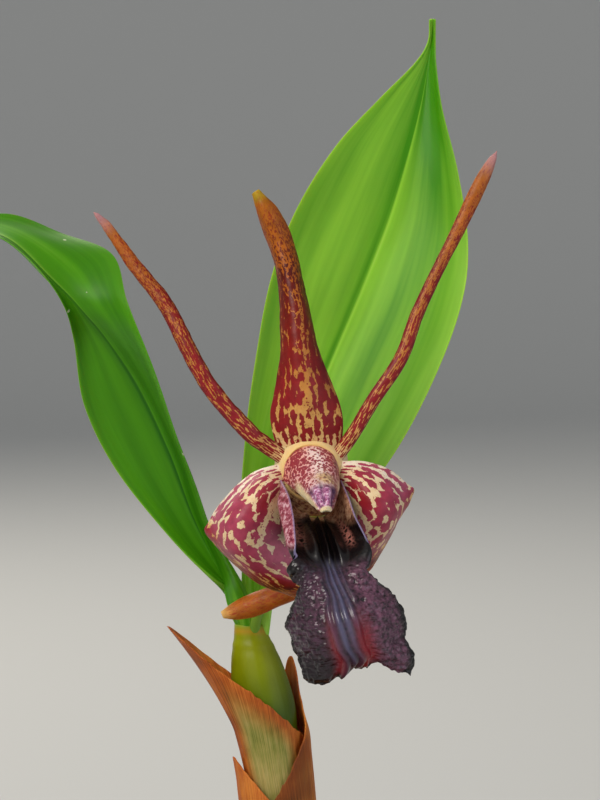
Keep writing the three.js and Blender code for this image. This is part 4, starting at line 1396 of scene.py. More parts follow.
RIGHT_LEAF = [
    [[-7.6, -2, 43.9], [-6.9, -1, 43.9], [-5.9, -1.1, 43.9], [-5.4, -2.2, 43.9], [-5.7, -3.3, 43.9]],
    [[-7.9, -2.6, 49.5], [-7.1, -0.6, 49.4], [-5.7, -0.2, 49.3], [-4.8, -1.2, 49.2], [-4.4, -3, 49.2]],
    [[-8, -4, 55.4], [-7.1, -1.5, 55.2], [-5.4, 0, 55], [-3.7, -1.2, 54.2], [-2, -3.4, 53.8]],
    [[-8.3, -5, 63.2], [-6.1, -1, 63.3], [-3.3, 1, 63.1], [0.3, -2, 61.3], [3.9, -6, 59.5]],
    [[-7.6, -5, 73.8], [-4.1, -1, 73.2], [0, 1.5, 72.3], [5.9, -2, 70.2], [11.9, -6, 68.6]],
    [[-6.1, -4, 84.8], [-1.1, 0, 84], [4.3, 2, 83], [11.3, -1, 81.1], [18.3, -5, 79.7]],
    [[-4, -3, 95.5], [2.3, 0, 94.6], [8.8, 2.5, 93.7], [16, 0, 91.9], [22.6, -4, 91]],
    [[-0.4, -2, 105.2], [6, 1, 104.3], [12.6, 3, 103.4], [18.5, 1.5, 101.6], [23.8, -2, 99.9]],
    [[5.1, 0, 114.1], [10.1, 2, 113.4], [15.4, 3.5, 112.6], [19.1, 2.5, 111.4], [22.4, 0, 110.4]],
    [[11.4, 3, 121.1], [14.3, 4, 120.8], [17.3, 5, 120.3], [18.9, 4.5, 120], [20.3, 3, 119.7]],
    [[16.5, 5, 126.3], [17.5, 5.6, 126.3], [18.4, 6, 126.3], [18.9, 5.6, 126.1], [19.5, 5, 125.9]],
    [[18.4, 5.5, 129.4], [18.7, 5.8, 129.5], [18.9, 6, 129.6], [19.1, 5.8, 129.5], [19.4, 5.5, 129.4]],
    [[18.5, 4, 132.4], [18.8, 4.1, 132.5], [19, 4.2, 132.5], [19.2, 4.1, 132.5], [19.4, 4, 132.4]],
]
LEFT_LEAF = [
    [[-6.5, -0.6, 45.2], [-7.1, -1.1, 45.2], [-7.4, -1.9, 45.2], [-7.2, -2.7, 45.2], [-6.5, -3.4, 45.2]],
    [[-8.1, -1.5, 49.5], [-8.9, -2.2, 49.2], [-9.2, -3.3, 49.2], [-8.4, -4.8, 49.5], [-7.2, -5.6, 49.9]],
    [[-12.7, -6, 53.2], [-12, -4.6, 53.4], [-11, -4.2, 53.9], [-9.8, -6.5, 54], [-9.1, -9.3, 54]],
    [[-19, -7, 59.6], [-17, -6, 60.3], [-14.6, -6, 61.4], [-13.1, -9.5, 60.8], [-12.3, -13.5, 59.8]],
    [[-26, -8, 68.6], [-22.2, -8, 69.3], [-17.9, -9, 70.3], [-15.8, -12.5, 68.7], [-14.6, -17, 66.6]],
    [[-30.1, -10, 77.3], [-26.4, -10.5, 78.3], [-22.2, -12, 79.7], [-19.3, -16, 77.2], [-17.3, -20, 74.2]],
    [[-31.3, -14, 86.3], [-29.2, -13.5, 86.6], [-26.8, -15, 87], [-23.3, -18.5, 85.8], [-20.6, -22, 83.9]],
    [[-32.5, -20, 91.4], [-31.7, -18, 91.3], [-30.5, -17, 91.1], [-26.8, -18, 91.5], [-23.6, -20, 91.6]],
    [[-35.7, -22, 96], [-35.2, -19, 95.5], [-34.4, -17, 94.9], [-30.1, -15, 96.8], [-26, -14, 98.2]],
    [[-40.3, -20, 99.9], [-40.1, -17.5, 99.8], [-39.5, -15, 99.7], [-36.4, -12, 100.8],
     [-33.2, -9, 101.3]],
    [[-44.3, -16, 101.1], [-44.2, -14.5, 101.3], [-43.8, -13, 101.5], [-42.3, -10.5, 102.8],
     [-40.8, -9, 104]],
    [[-48.1, -11, 101.8], [-48.1, -10.8, 102], [-48, -10.6, 102.2], [-47.9, -10.4, 102.4],
     [-47.8, -10, 102.7]],
]


@dataclass
class Leaf:
    """A leaf with its petiole: a channelled blade, thick at the foot and thin at its margins.

    Attributes:
        name: The node that it stands for.
        rows: Its net.
        finish: Its green.
        tones: Lighter and darker patches: weight, place and length along, place and width across.
    """

    name: str
    rows: list
    finish: LeafSkin
    tones: tuple
    long: int = 260
    wide: int = 56

    def half(self, u: Array, v: Array) -> Array:
        """Returns the half-thickness: a stout petiole, a thin blade, a little more at the midrib."""
        stout = stations([(0, 0.95), (0.06, 1), (0.14, 0.7), (0.24, 0.32), (0.38, 0.2), (1, 0.16)], u)
        return stout + 0.22 * bell(v, 0, 0.07) * (1 - u)

    def relief(self, u: Array, v: Array, middle: Array) -> tuple[Array, Array]:
        """A groove along the midrib in front, and slight waves between the veins on both faces.

        Args:
            u: Places along.
            v: Places across.
            middle: The middle surface.

        Returns:
            How far the front and the back face stand out.
        """
        groove = -0.28 * bell(v, 0, 0.045) * smooth(0.05, 0.3, u) * (1 - u)
        waves = 0.05 * np.cos(v * np.pi * 7) * smooth(0.1, 0.4, u) * (1 - u) + 0.12 * noise(middle, 9, 5)
        return groove + waves, -waves

    def build(self) -> None:
        """Puts the leaf in place of its node."""
        skin = Blade(self.rows, self.long, self.wide, self.half, self.relief).skin()
        u, v = skin.marks["share"], skin.marks["across"]
        tone = 0.25 * smooth(0.22, 0.05, u)
        for weight, at, long, off, wide in self.tones:
            tone = tone + weight * bell(u, at, long) * bell(v, off, wide)
        skin.marks["tone"] = tone
        put(self.name + "_blade", shot(skin), self.name, self.finish.make())


def build_leaves() -> None:
    """Builds the bright right leaf, with painted shade over its upper right, and the darker
    left one.
    """
    dark = {"deep": "#1f6002", "bright": "#4a900c", "rim": "#8cc040"}
    # The first two patches are painted shade: the upper right, and a streak right of the midrib.
    tones = ((-0.6, 0.8, 0.16, 0.4, 0.6), (-0.3, 0.5, 0.14, 0.36, 0.06), (0.1, 0.45, 0.3, 0.17, 0.08),
             (0.1, 0.3, 0.2, -0.4, 0.4), (-0.1, 0.6, 0.2, -0.3, 0.1))
    finish = LeafSkin("leaf_skin_right", gloss=0.2, glow=0.5)
    Leaf("leaf_right", RIGHT_LEAF, finish, tones).build()
    tones = ((0.15, 0.85, 0.2, 0, 0.8), (-0.1, 0.35, 0.2, 0.3, 0.4), (0.3, 0.4, 0.5, -1, 0.05),
             (0.14, 0.4, 0.3, 0.9, 0.2))
    finish = LeafSkin("leaf_skin_left", gloss=0.2, glow=0.3, specks=0.8, **dark)
    Leaf("leaf_left", LEFT_LEAF, finish, tones).build()


# Flower

STALK_PATH = [
    [-6.7, -3.3, 44.6], [-5.7, -4.4, 48.9], [-1.6, -6.4, 53.2], [1.7, -10.2, 59],
    [2.3, -14.5, 64.4], [2, -18.2, 68.1], [1.6, -20.6, 69.7], [1.6, -22.4, 69.7],
]


@dataclass
class FlowerStalk:
    """Stalk and ovary, which widen into a cup, and the cup's collar round the column.

    Attributes:
        sides: How many points go round.
        thick: Stations of the stalk's half-width.
        collar: Depth, half-width, half-height and middle's height along the collar.
        middle: How far the collar's middle lies to the side.
    """

    sides: int = 72
    thick: tuple = ((0, 0.85), (0.3, 1.1), (0.55, 1.5), (0.75, 1.9), (0.88, 2.8), (1, 4.9))
    collar: tuple = (
        (-22.7, 4.95, 4.8, 68.8), (-23.3, 4.7, 4.6, 68.65), (-24, 4.4, 4.4, 68.5), (-24.7, 4.1, 4.2, 68.4),
        (-25.15, 3.85, 3.95, 68.3), (-25.3, 3.55, 3.65, 68.3), (-24.9, 3.3, 3.35, 68.3),
        (-23.8, 3.1, 3.1, 68.4),
    )
    middle: float = 1.45

    def build(self) -> None:
        """Sweeps the stalk, then carries its rim forward into a rolled oval collar."""
        u, v, turn = np.linspace(0, 1, 110), np.linspace(0, 1, 40), turns(self.sides)
        path, half = spline(STALK_PATH, u), stations(self.thick, u)[:, None]
        way = frames(path, (0, 0.3, 1))
        tube = ovals(path, half, half * (1 - 0.1 * u[:, None]), way, turn)
        depth, wide, high, level = spline(self.collar, v).T[..., None]
        middles = joined(self.middle, depth, level)[:, 0]
        collar = ovals(middles, wide, high, (way[0][-1], way[1][-1]), turn)
        share = np.concatenate([0.86 * u, 0.87 + 0.13 * v])[:, None]
        skin = shot(wrap(np.concatenate([tube, collar]), {"share": share}))
        put("stalk_and_cup", skin, "ovary_stalk", StalkSkin("waxy_stalk").make())


@dataclass
class Column:
    """The speckled hood that leans out over the lip, with its foot and its anther.

    Attributes:
        left: The hood's left margin, from the collar to the tip.
        crest: The line along its top.
        right: Its right margin.
        foot: The column's foot, which carries the lip.
    """

    left: tuple = (
        (-1.8, -23.6, 67.3), (-2.15, -25.2, 67.1), (-1.35, -26.4, 66.4), (0, -28.8, 65.3),
        (1.45, -31.6, 64.1), (2.45, -34.2, 63.35), (2.95, -35.1, 63.1),
    )
    crest: tuple = (
        (1.5, -23.6, 71.5), (1.7, -25.4, 71.3), (2.3, -27.6, 69.8), (2.75, -30.2, 67.9), (3.05, -32.8, 66.1),
        (3.35, -34.7, 64.3), (3.5, -35.25, 63.3),
    )
    right: tuple = (
        (4.7, -23.6, 67.2), (5, -25.2, 67), (5, -26.5, 66.2), (4.95, -29, 65.1), (4.6, -31.8, 64.1),
        (4.25, -34.2, 63.45), (4.05, -35.1, 63.15),
    )
    foot: tuple = ((1.5, -25.4, 69), (1.7, -25.2, 66.9), (1.9, -24, 64.8), (2.1, -22.6, 62.6))

    def half(self, u: Array, v: Array) -> Array:
        """Returns the hood's half-thickness: fleshy in the middle, thinner towards the tip."""
        return stations([(0, 0.5), (0.5, 0.5), (0.85, 0.4), (1, 0.2)], u) * (1 - 0.35 * v**2)

    def relief(self, u: Array, v: Array, middle: Array) -> tuple[Array, Array]:
        """The anther under the hood's end: a pair of ridges, with creases round them.

        Args:
            u: Places along.
            v: Places across.
            middle: The middle surface.

        Returns:
            How far the front and the back face stand out.
        """
        cap = smooth(0.6, 0.7, u) * smooth(0.93, 0.86, u)
        ridges = 0.35 * cap * (bell(v, -0.3, 0.17) + bell(v, 0.18, 0.18))
        lip = 0.3 * bell(u, 0.93, 0.05) * bell(v, 0.1, 0.4)
        creases = -0.25 * cap * (bell(v, -0.62, 0.1) + bell(v, -0.06, 0.05) + bell(v, 0.52, 0.12))
        brow = 0.25 * bell(u, 0.57, 0.05) * bell(v, 0.05, 0.35)
        groove = -0.35 * bell(u, 0.65, 0.022) * bell(v, 0, 0.5)
        return ridges + lip + creases + brow + groove + 0.08 * rough(middle, 1.1, 14), 0 * cap

    def hood(self) -> Skin:
        """Spans arches from margin to margin over the crest, with rounded flesh.

        An arch is the mean of its margins, plus half their difference times -cos, plus the
        way from that mean to the crest times sin^0.8 of the turn from 0 to pi.

        Returns:
            The hood's skin, with marks for its colours.
        """
        turn = (np.pi * np.arange(13) / 12)[:, None]
        left, crest, right = np.array([self.left, self.crest, self.right])[:, :, None]
        middle = (left + right) / 2
        lift = np.sin(turn).clip(0) ** 0.8
        rows = middle - (right - left) / 2 * np.cos(turn) + (crest - middle) * lift
        skin = Blade(rows, 150, 110, self.half, self.relief, edge=0.6).skin()
        u, v = skin.marks["share"], skin.marks["across"]
        cap = smooth(0.6, 0.68, u) * smooth(0.95, 0.9, u)
        blurred = 0.75 + 0.35 * noise(skin.points, 0.7, 61)
        # The dots crowd on the left and thin down the crest, under its painted highlight.
        crowd = 0.3 + 0.12 * bell(v, -0.5, 0.25) - 0.1 * bell(v, 0, 0.2)
        # Painted shadow in the creases round the anther, where the relief has its creases.
        crease_shadows = 0.45 * bell(v, -0.62, 0.1) + 0.45 * bell(v, -0.06, 0.06) + 0.8 * bell(v, 0.55, 0.14)
        crease_shadows = (crease_shadows + 0.5 * bell(u, 0.645, 0.025)) * smooth(0.58, 0.64, u) * smooth(0.9, 0.84, u)
        tooth = smooth(0.4, 0.5, u) * smooth(0.88, 0.8, u) * smooth(-0.66, -0.86, v)
        patch = 0.8 * bell(u, 0.52, 0.06) * bell(v, 0.75, 0.12)
        skin.marks |= {
            "crowd": crowd - 0.35 * smooth(0.09, 0.02, u) - 0.3 * smooth(0.9, 0.95, u),
            # Painted highlight down the crest.
            "crest": 0.85 * bell(v, 0, 0.22) * smooth(0.1, 0.25, u) * smooth(0.7, 0.6, u),
            # Painted shade down the right side.
            "flank": 0.75 * smooth(0.3, 0.6, v) * smooth(0.06, 0.14, u) * blurred,
            "tan": 0.9 * np.clip(bell(u, 0.57, 0.07) * bell(v, 0.12, 0.3) * 1.3, 0, 1),
            "lilac": 0.95 * cap * smooth(0.72, 0.6, np.abs(v + 0.05)),
            # Painted shadow in the anther's creases.
            "purple": np.clip(crease_shadows * blurred, 0, 1),
            "cream": np.clip(0.95 * tooth + 0.9 * smooth(0.9, 0.96, u) + patch, 0, 1),
        }
        return skin

    def build(self) -> None:
        """Joins the hood and the foot."""
        u = np.linspace(0, 1, 30)
        broad = 1.6 + 2.0 * smooth(0.1, 0.45, u) - 1.2 * smooth(0.6, 1, u)
        foot = sweep(spline(self.foot, u), broad, 1.4 - 0.8 * u, (0, -1, -1), 40)
        even = np.ones(len(foot.points))
        foot.marks = {"share": 0.5 * even, "crowd": 0.28 * even, "tan": 0.85 * even}
        whole = shot(merged([self.hood(), foot]))
        put("column_hood", whole, "column", ColumnSkin("waxy_column").make())


DORSAL_SEPAL = [
    [[-2.9, -23.2, 70.4], [1.4, -23.4, 70.6], [5.6, -23.2, 70.4]],
    [[-4, -24, 75.2], [0.8, -26, 74.9], [5.8, -24, 74.9]],
    [[-3.7, -24, 78], [0.5, -27, 77.7], [5.3, -24, 77.7]],
    [[-3.1, -24.5, 81], [0.3, -27, 80.7], [4.1, -24.5, 80.8]],
    [[-2.6, -24.5, 84.1], [-0.1, -27, 83.8], [2.7, -24.5, 84]],
    [[-2.6, -24, 87.5], [-0.4, -26.5, 87.3], [1.8, -24, 87.4]],
    [[-2.55, -23, 91.6], [-0.8, -25.5, 91.4], [0.8, -23, 91.6]],
    [[-3.15, -22.5, 96.5], [-1.8, -24.5, 96.1], [-0.35, -22.5, 96.6]],
    [[-4.6, -22.5, 100.3], [-3.1, -24, 100.2], [-1.4, -22.5, 100.6]],
    [[-5.6, -23.5, 103.2], [-4.5, -24.5, 103.5], [-3.1, -23.5, 103.9]],
    [[-6.5, -24.3, 105.9], [-6, -24.6, 106.3], [-5.6, -24.3, 106.5]],
]
LEFT_SEPAL = [
    [[-1.6, -23.3, 69.6], [-1.6, -23.4, 67.6], [-0.6, -23, 65.9]],
    [[-6, -24.5, 68.3], [-4.3, -27.5, 66.2], [-1.2, -23.6, 63.8]],
    [[-8.9, -24.5, 66], [-6, -28.6, 64], [-0.7, -23.4, 60.9]],
    [[-11.7, -23.5, 62.7], [-7.8, -29, 61.1], [-0.4, -23.4, 58.1]],
    [[-12.5, -22, 60], [-8.1, -27.5, 58.1], [0, -23, 55.7]],
    [[-10.3, -21.5, 57], [-6.1, -25, 55.5], [0.8, -22, 54.1]],
    [[-6.1, -20, 53.4], [-3, -22, 53.1], [1.9, -20.3, 52.9]],
    [[-1.3, -18, 51.4], [0.5, -19.3, 51.9], [3.1, -18, 52.2]],
    [[3, -16.5, 49.7], [3.8, -17.5, 50.7], [4.7, -16.5, 51.6]],
    [[7.2, -15.5, 48.4], [7.6, -16.5, 49.4], [8, -15.5, 50.4]],
    [[10.8, -15, 47.3], [11, -15.7, 48.2], [11.3, -15, 49]],
    [[13.1, -15, 46.5], [13.3, -15.2, 46.9], [13.5, -15, 47.4]],
]
RIGHT_SEPAL = [
    [[4.4, -23.3, 69.6], [4.4, -23.4, 67.6], [3.5, -23, 65.9]],
    [[8.3, -24.3, 69.7], [7.2, -26.6, 66.9], [5.2, -23.4, 63.8]],
    [[11.4, -24.5, 68.9], [9.1, -28.2, 65.2], [5.5, -23.2, 60.9]],
    [[13.9, -23.5, 67.2], [10.8, -28.3, 63.1], [5.7, -23, 58.8]],
    [[15.1, -22, 65.3], [11.4, -26.6, 60.9], [5.6, -22.4, 57.6]],
    [[13.4, -20.3, 61.6], [10.7, -24, 58.9], [6.2, -20.6, 57]],
    [[11.3, -18, 57.6], [9.5, -20, 57], [6.6, -17.6, 57]],
    [[8.8, -15.2, 53.9], [7.6, -16.7, 55.2], [6.3, -15.2, 56.5]],
    [[3.7, -12.7, 51.9], [3.2, -14, 53.3], [2.6, -12.7, 54.6]],
    [[-1.5, -10.6, 50.1], [-1.9, -11.8, 51.3], [-2.3, -10.6, 52.5]],
    [[-5.7, -9.3, 48.2], [-6.2, -10.4, 49.6], [-6.7, -9.3, 50.9]],
    [[-8.5, -8.8, 47.5], [-8.8, -9.6, 48.6], [-9.2, -8.8, 49.7]],
    [[-10.6, -8.9, 47.6], [-10.8, -9.1, 48], [-11, -8.9, 48.4]],
]
LEFT_PETAL = [
    [-1.8, -23.2, 69.9], [-4.9, -25.2, 72.1], [-6.9, -26.6, 73.7], [-11.8, -28, 79.3], [-15.1, -28, 85],
    [-18, -27, 90.7], [-22.5, -26, 96.4], [-25.9, -25.5, 101.2], [-27.8, -26, 103.4],
]
RIGHT_PETAL = [
    [4.6, -23.2, 69.9], [7.1, -25, 73.3], [9.9, -26, 78], [13.6, -26, 83.6], [15.8, -25.5, 89.5],
    [18.5, -25, 95.3], [21.5, -24, 101.2], [24.4, -23, 107.2], [26.8, -22, 111.9],
]


@dataclass
class Sepal:
    """A sepal: broad and fleshy at the foot, with a thick drawn-out tail.

    Attributes:
        name: The node that it stands for.
        rows: Its net.
        finish: Its blotched skin.
        thick: Stations of its half-thickness.
        corner: Where along its outer margin a corner stands out, and how far to the side and up.
    """

    name: str
    rows: list
    finish: Blotched
    thick: tuple
    corner: Triple = (0.35, 0, 0)
    long: int = 260
    wide: int = 48

    def half(self, u: Array, v: Array) -> Array:
        """Returns the half-thickness along the sepal."""
        return stations(self.thick, u)

    def relief(self, u: Array, v: Array, middle: Array) -> tuple[Array, Array]:
        """Returns low swellings of the flesh between the veins, the same on both faces."""
        flesh = 0.09 * rough(middle, 2.2, 11) * smooth(0.02, 0.15, u)
        return flesh, flesh

    def shift(self, u: Array, v: Array, middle: Array) -> Array:
        """Returns the outer margin's moves to its corner: a bell along, a smooth step across."""
        at, aside, up = self.corner
        return (bell(u, at, 0.028) * smooth(0.55, 1, -v))[..., None] * [aside, 0, up]

    def pigment(self, u: Array, v: Array) -> dict[str, Array]:
        """Returns the marks that steer the blotches; each kind of sepal has its own."""
        raise NotImplementedError

    def build(self) -> None:
        """Puts the sepal in place of its node."""
        shape = (self.rows, self.long, self.wide, self.half, self.relief, self.shift)
        skin = Blade(*shape, edge=0.6).skin()
        skin.marks |= self.pigment(skin.marks["share"], skin.marks["across"])
        put(self.name + "_flesh", shot(skin), self.name, self.finish.make())


@dataclass
class DorsalSepal(Sepal):
    """The upright sepal: strings of beads at its foot, and a plain orange tail.

    Its sides carry painted shade, deeper on the right.
    """

    def pigment(self, u: Array, v: Array) -> dict[str, Array]:
        """Marks from stations along it, with a bare dotted midrib and painted shade on its sides.

        Args:
            u: Places along.
            v: Places across.

        Returns:
            The marks.
        """
        midrib = stations([(0, 0.05), (0.5, 0.15), (1, 0.1)], u)
        bare = bell(v, midrib, 0.12) * smooth(0.05, 0.1, u) * smooth(0.7, 0.58, u)
        cover = ((0, -0.1), (0.03, 0.15), (0.06, 0.43), (0.2, 0.46), (0.34, 0.54), (0.52, 0.58), (0.64, 0.3),
                 (0.74, 0), (1, 0))
        fleck = ((0, 0.1), (0.3, 0.15), (0.5, 0.36), (0.6, 0.5), (0.7, 0.42), (0.9, 0.26), (1, 0.1))
        ground = ((0, 0.14), (0.06, 0.27), (0.2, 0.4), (0.5, 0.5), (0.7, 0.62), (0.92, 0.72), (0.97, 0.95),
                  (1, 1))
        # Painted shade on both sides, deeper on the right.
        side_shade = 0.6 * smooth(0.3, 1, v) + 0.3 * smooth(0.5, 1, -v)
        edges = 0.15 * smooth(0.35, 0.95, np.abs(v)) * smooth(0.45, 0.6, u)
        return {
            "cover": stations(cover, u) - 0.42 * bare,
            "fleck": stations(fleck, u) + edges - 0.22 * bare,
            "bare": bare,
            "ground": stations(ground, u),
            "bead": stations([(0, 0.5), (0.3, 0.5), (0.5, 0.62), (0.7, 0.8), (1, 1)], u),
            # Painted shade on the sides, over the middle of the length.
            "dusk": side_shade * smooth(0.15, 0.35, u) * smooth(0.78, 0.6, u),
        }


@dataclass
class LateralSepal(Sepal):
    """A sepal at the side: rounded spots in a cream rim, merged blotches inside, an orange tail."""

    redder: float = 0.0

    def pigment(self, u: Array, v: Array) -> dict[str, Array]:
        """Marks from stations along it, changed towards the outer margin, the column and the lip.

        Painted light lightens the inner half, and painted shade darkens the fold beside the lip.

        Args:
            u: Places along.
            v: Places across.

        Returns:
            The marks.
        """
        tail = smooth(0.5, 0.62, u)
        blade = 1 - tail
        midrib = ((0, 0.6), (0.12, 0.5), (0.2, 0.4), (0.28, 0.26), (0.36, 0.05), (0.45, -0.15), (1, -0.2))
        bare = bell(v, stations(midrib, u), 0.07) * smooth(0.12, 0.2, u) * blade
        outer = smooth(-0.3, -0.8, v) * smooth(0.42, 0.28, u)
        rim = smooth(-0.86, -0.98, v) * smooth(0.36, 0.3, u)
        # Inner half: rose blotches, lightened as painted light where it bulges towards the light.
        inner = smooth(0.15, 0.6, v) * smooth(0.18, 0.3, u) * blade
        cream = smooth(0.26, 0.4, v) * smooth(0.25, 0.17, u)
        gold = smooth(0.26, 0.38, u) * smooth(-0.3, -0.9, v) * blade
        cover = ((0, -0.1), (0.03, 0.15), (0.07, 0.36), (0.2, 0.47), (0.42, 0.5), (0.56, 0.47), (0.64, 0.1),
                 (1, 0))
        ground = ((0, 0.12), (0.1, 0.16), (0.45, 0.22), (0.6, 0.5), (0.9, 0.56), (0.96, 0.4), (1, 0.3))
        bead = stations(((0, 0.3), (0.45, 0.27), (0.6, 0.9), (1, 1)), u) + self.redder * blade
        heart = 0.14 * bell(v, 0.1, 0.25) * bell(u, 0.16, 0.08) * blade
        # Painted shade in the fold beside the lip.
        fold_shade = bell(u, 0.24, 0.035) * bell(v, 0.7, 0.13)
        bald = 0.11 * outer + 0.3 * rim + 0.35 * cream + 0.3 * bare + 0.03 * inner
        return {
            "cover": stations(cover, u) - bald,
            "fleck": stations([(0, 0.1), (0.45, 0.15), (0.6, 0.36), (0.9, 0.26), (1, 0)], u),
            "bare": bare,
            "ground": stations(ground, u) - 0.1 * outer - 0.08 * inner + 0.3 * gold,
            "bead": bead + heart - 0.12 * outer - 0.15 * inner + 0.26 * gold,
            # Painted shade: the fold, and faintly the inner side towards the blade's end.
            "dusk": 0.6 * fold_shade + 0.1 * smooth(0.4, 0.6, u) * smooth(0.2, 1, v) * blade,
        }


@dataclass
class Petal:
    """A petal: a long thick strap, a little flattened, with a blunt tip.

    Attributes:
        name: The node that it stands for.
        path: The line along its middle.
        widths: Stations of its half-width.
        stripe: Place across and weight of its paler stripe.
    """

    name: str
    path: list
    widths: tuple
    stripe: Pair

    def pigment(self, u: Array, v: Array) -> dict[str, Array]:
        """Marks from stations along it, with a paler stripe and a mauve tip.

        Painted shade darkens the sides of the strap.

        Args:
            u: Places along.
            v: Places across.

        Returns:
            The marks.
        """
        at, weight = self.stripe
        stripe = weight * bell(v, at, 0.35) * smooth(0.2, 0.4, u) * smooth(0.97, 0.9, u)
        cover = ((0, 0), (0.04, 0.3), (0.1, 0.43), (0.4, 0.48), (0.55, 0.38), (0.7, 0.2), (0.85, 0.05),
                 (1, 0))
        fleck = ((0, 0.1), (0.3, 0.28), (0.5, 0.4), (0.65, 0.42), (0.8, 0.34), (0.92, 0.22), (1, 0.1))
        ground = ((0, 0.14), (0.08, 0.3), (0.25, 0.42), (0.5, 0.5), (0.7, 0.55), (0.85, 0.58), (1, 0.5))
        return {
            "cover": stations(cover, u) - 0.3 * stripe,
            "fleck": stations(fleck, u) - 0.2 * stripe,
            "ground": stations(ground, u),
            "bead": stations([(0, 0.42), (0.4, 0.5), (0.6, 0.57), (1, 0.6)], u),
            "mauve": 0.75 * smooth(0.9, 0.99, u),
            # Painted shade along the strap's sides.
            "dusk": 0.35 * smooth(0.5, 1, np.abs(v)) * smooth(0.9, 0.6, u),
        }

    def build(self) -> None:
        """Sweeps the strap along its path with half-depth 0.62 of its half-width."""
        u = np.linspace(0, 1, 240)
        across = stations(self.widths, u) * np.sqrt(1 - smooth(0.97, 1, u) * 0.95)
        skin = sweep(spline(self.path, u), across, 0.62 * across + 0.03, (0, -1, 0), 40)
        skin.points = skin.points + 0.05 * rough(skin.points, 1.5, 4)[:, None]
        skin.marks |= self.pigment(skin.marks["share"], skin.marks["across"])
        finish = Blotched("blotched_" + self.name, across=7.5)
        put(self.name + "_strap", shot(skin), self.name, finish.make())


LIP = [
    [[-2.6, -26.5, 67.2], [-2.3, -25.2, 65.3], [-1, -23.9, 63.2], [0.6, -22.9, 61.9], [2.2, -22.5, 61.4],
     [3.8, -22.9, 61.9], [5, -23.9, 63.2], [5.6, -25.2, 65.3], [5.5, -26.5, 67.2]],
    [[-1.5, -31, 65.2], [-2.65, -29, 64.6], [-2, -26.8, 62.8], [0.3, -25.2, 61.6], [2.3, -24.6, 61.1],
     [4.2, -25.2, 61.7], [5.4, -26.8, 62.8], [6, -28.6, 63.9], [6.5, -30, 65]],
    [[-0.9, -34, 62.7], [-2.3, -31.5, 62.4], [-1.3, -29.3, 61], [1, -27.6, 60.1], [2.9, -27.2, 59.8],
     [4.6, -27.6, 60.2], [6.2, -29.3, 61.2], [7.1, -31.4, 62.2], [7.3, -33, 62.6]],
    [[-0.7, -36, 60.8], [-1.9, -34, 60.5], [-0.6, -32, 59.4], [1.6, -31, 58.6], [3.4, -30.8, 58.3],
     [5.1, -31, 58.7], [6.9, -32, 59.5], [8.2, -33.6, 60.2], [8.4, -34.5, 60.4]],
    [[-0.6, -37, 58.5], [-1.3, -36, 58.3], [0.2, -34.8, 57.5], [2.2, -34.3, 56.9], [3.9, -34.1, 56.7],
     [5.6, -34.3, 57], [7.4, -34.8, 57.7], [8.9, -35.6, 58.3], [9.4, -35.5, 58.3]],
    [[-1.2, -37, 56.6], [0, -37.2, 56.3], [1.4, -36.6, 55.8], [3, -36.3, 55.4], [4.3, -36.3, 55.2],
     [5.8, -36.4, 55.5], [7.2, -36.5, 56], [8.5, -36.4, 56.5], [9.4, -36, 56.8]],
    [[-1.3, -36.5, 54.7], [0.3, -37.6, 54.4], [1.8, -38, 54.1], [3.3, -38.2, 53.9], [4.7, -38.3, 53.9],
     [6.1, -38.3, 54.1], [7.2, -38.1, 54.4], [8.3, -37.4, 54.9], [8.7, -36.3, 55.4]],
    [[-0.5, -36, 52.6], [0.9, -38.4, 52.2], [2.3, -39.3, 52], [3.9, -39.8, 51.9], [5.4, -40, 51.9],
     [6.9, -39.9, 52.1], [8.4, -39.4, 52.4], [10.2, -38, 52.8], [11.6, -35.5, 52.8]],
    [[-1.2, -34.5, 50.1], [0.4, -37.8, 50], [2.2, -40, 49.8], [3.9, -41.2, 49.7], [5.8, -41.6, 49.8],
     [7.7, -41.3, 50], [9.6, -40.2, 50.2], [11.6, -38.2, 50.4], [13.5, -35.5, 50.4]],
    [[-1.6, -33.5, 48.2], [0.2, -37.4, 48], [2.2, -40.2, 47.8], [4.1, -41.6, 47.8], [6.1, -42, 47.9],
     [8.1, -41.6, 48], [10.1, -40.3, 48.1], [12.1, -37.8, 48.1], [13.9, -35, 48]],
    [[-1.1, -33.5, 45.8], [0.6, -37.2, 45.5], [2.6, -39.8, 45.4], [4.6, -41.2, 45.5], [6.6, -41.5, 45.7],
     [8.6, -41, 45.9], [10.6, -39.8, 46.1], [12.5, -37.6, 46.1], [14.1, -35.3, 46]],
    [[-0.3, -34.5, 43.8], [1.3, -37, 43.3], [3.3, -39, 43.2], [5.4, -40.2, 43.5], [7.4, -40.3, 43.9],
     [9.3, -39.9, 44.2], [11.2, -39, 44.3], [13.1, -37.8, 44.1], [15, -36, 44]],
    [[0, -35.5, 42.4], [1, -36.3, 40.7], [2.8, -37.5, 40.2], [4.9, -38, 40.9], [6.6, -38, 42.4],
     [8.4, -38, 42.2], [10.2, -38, 43.3], [12.2, -37.2, 42.2], [14.7, -36, 41.6]],
]


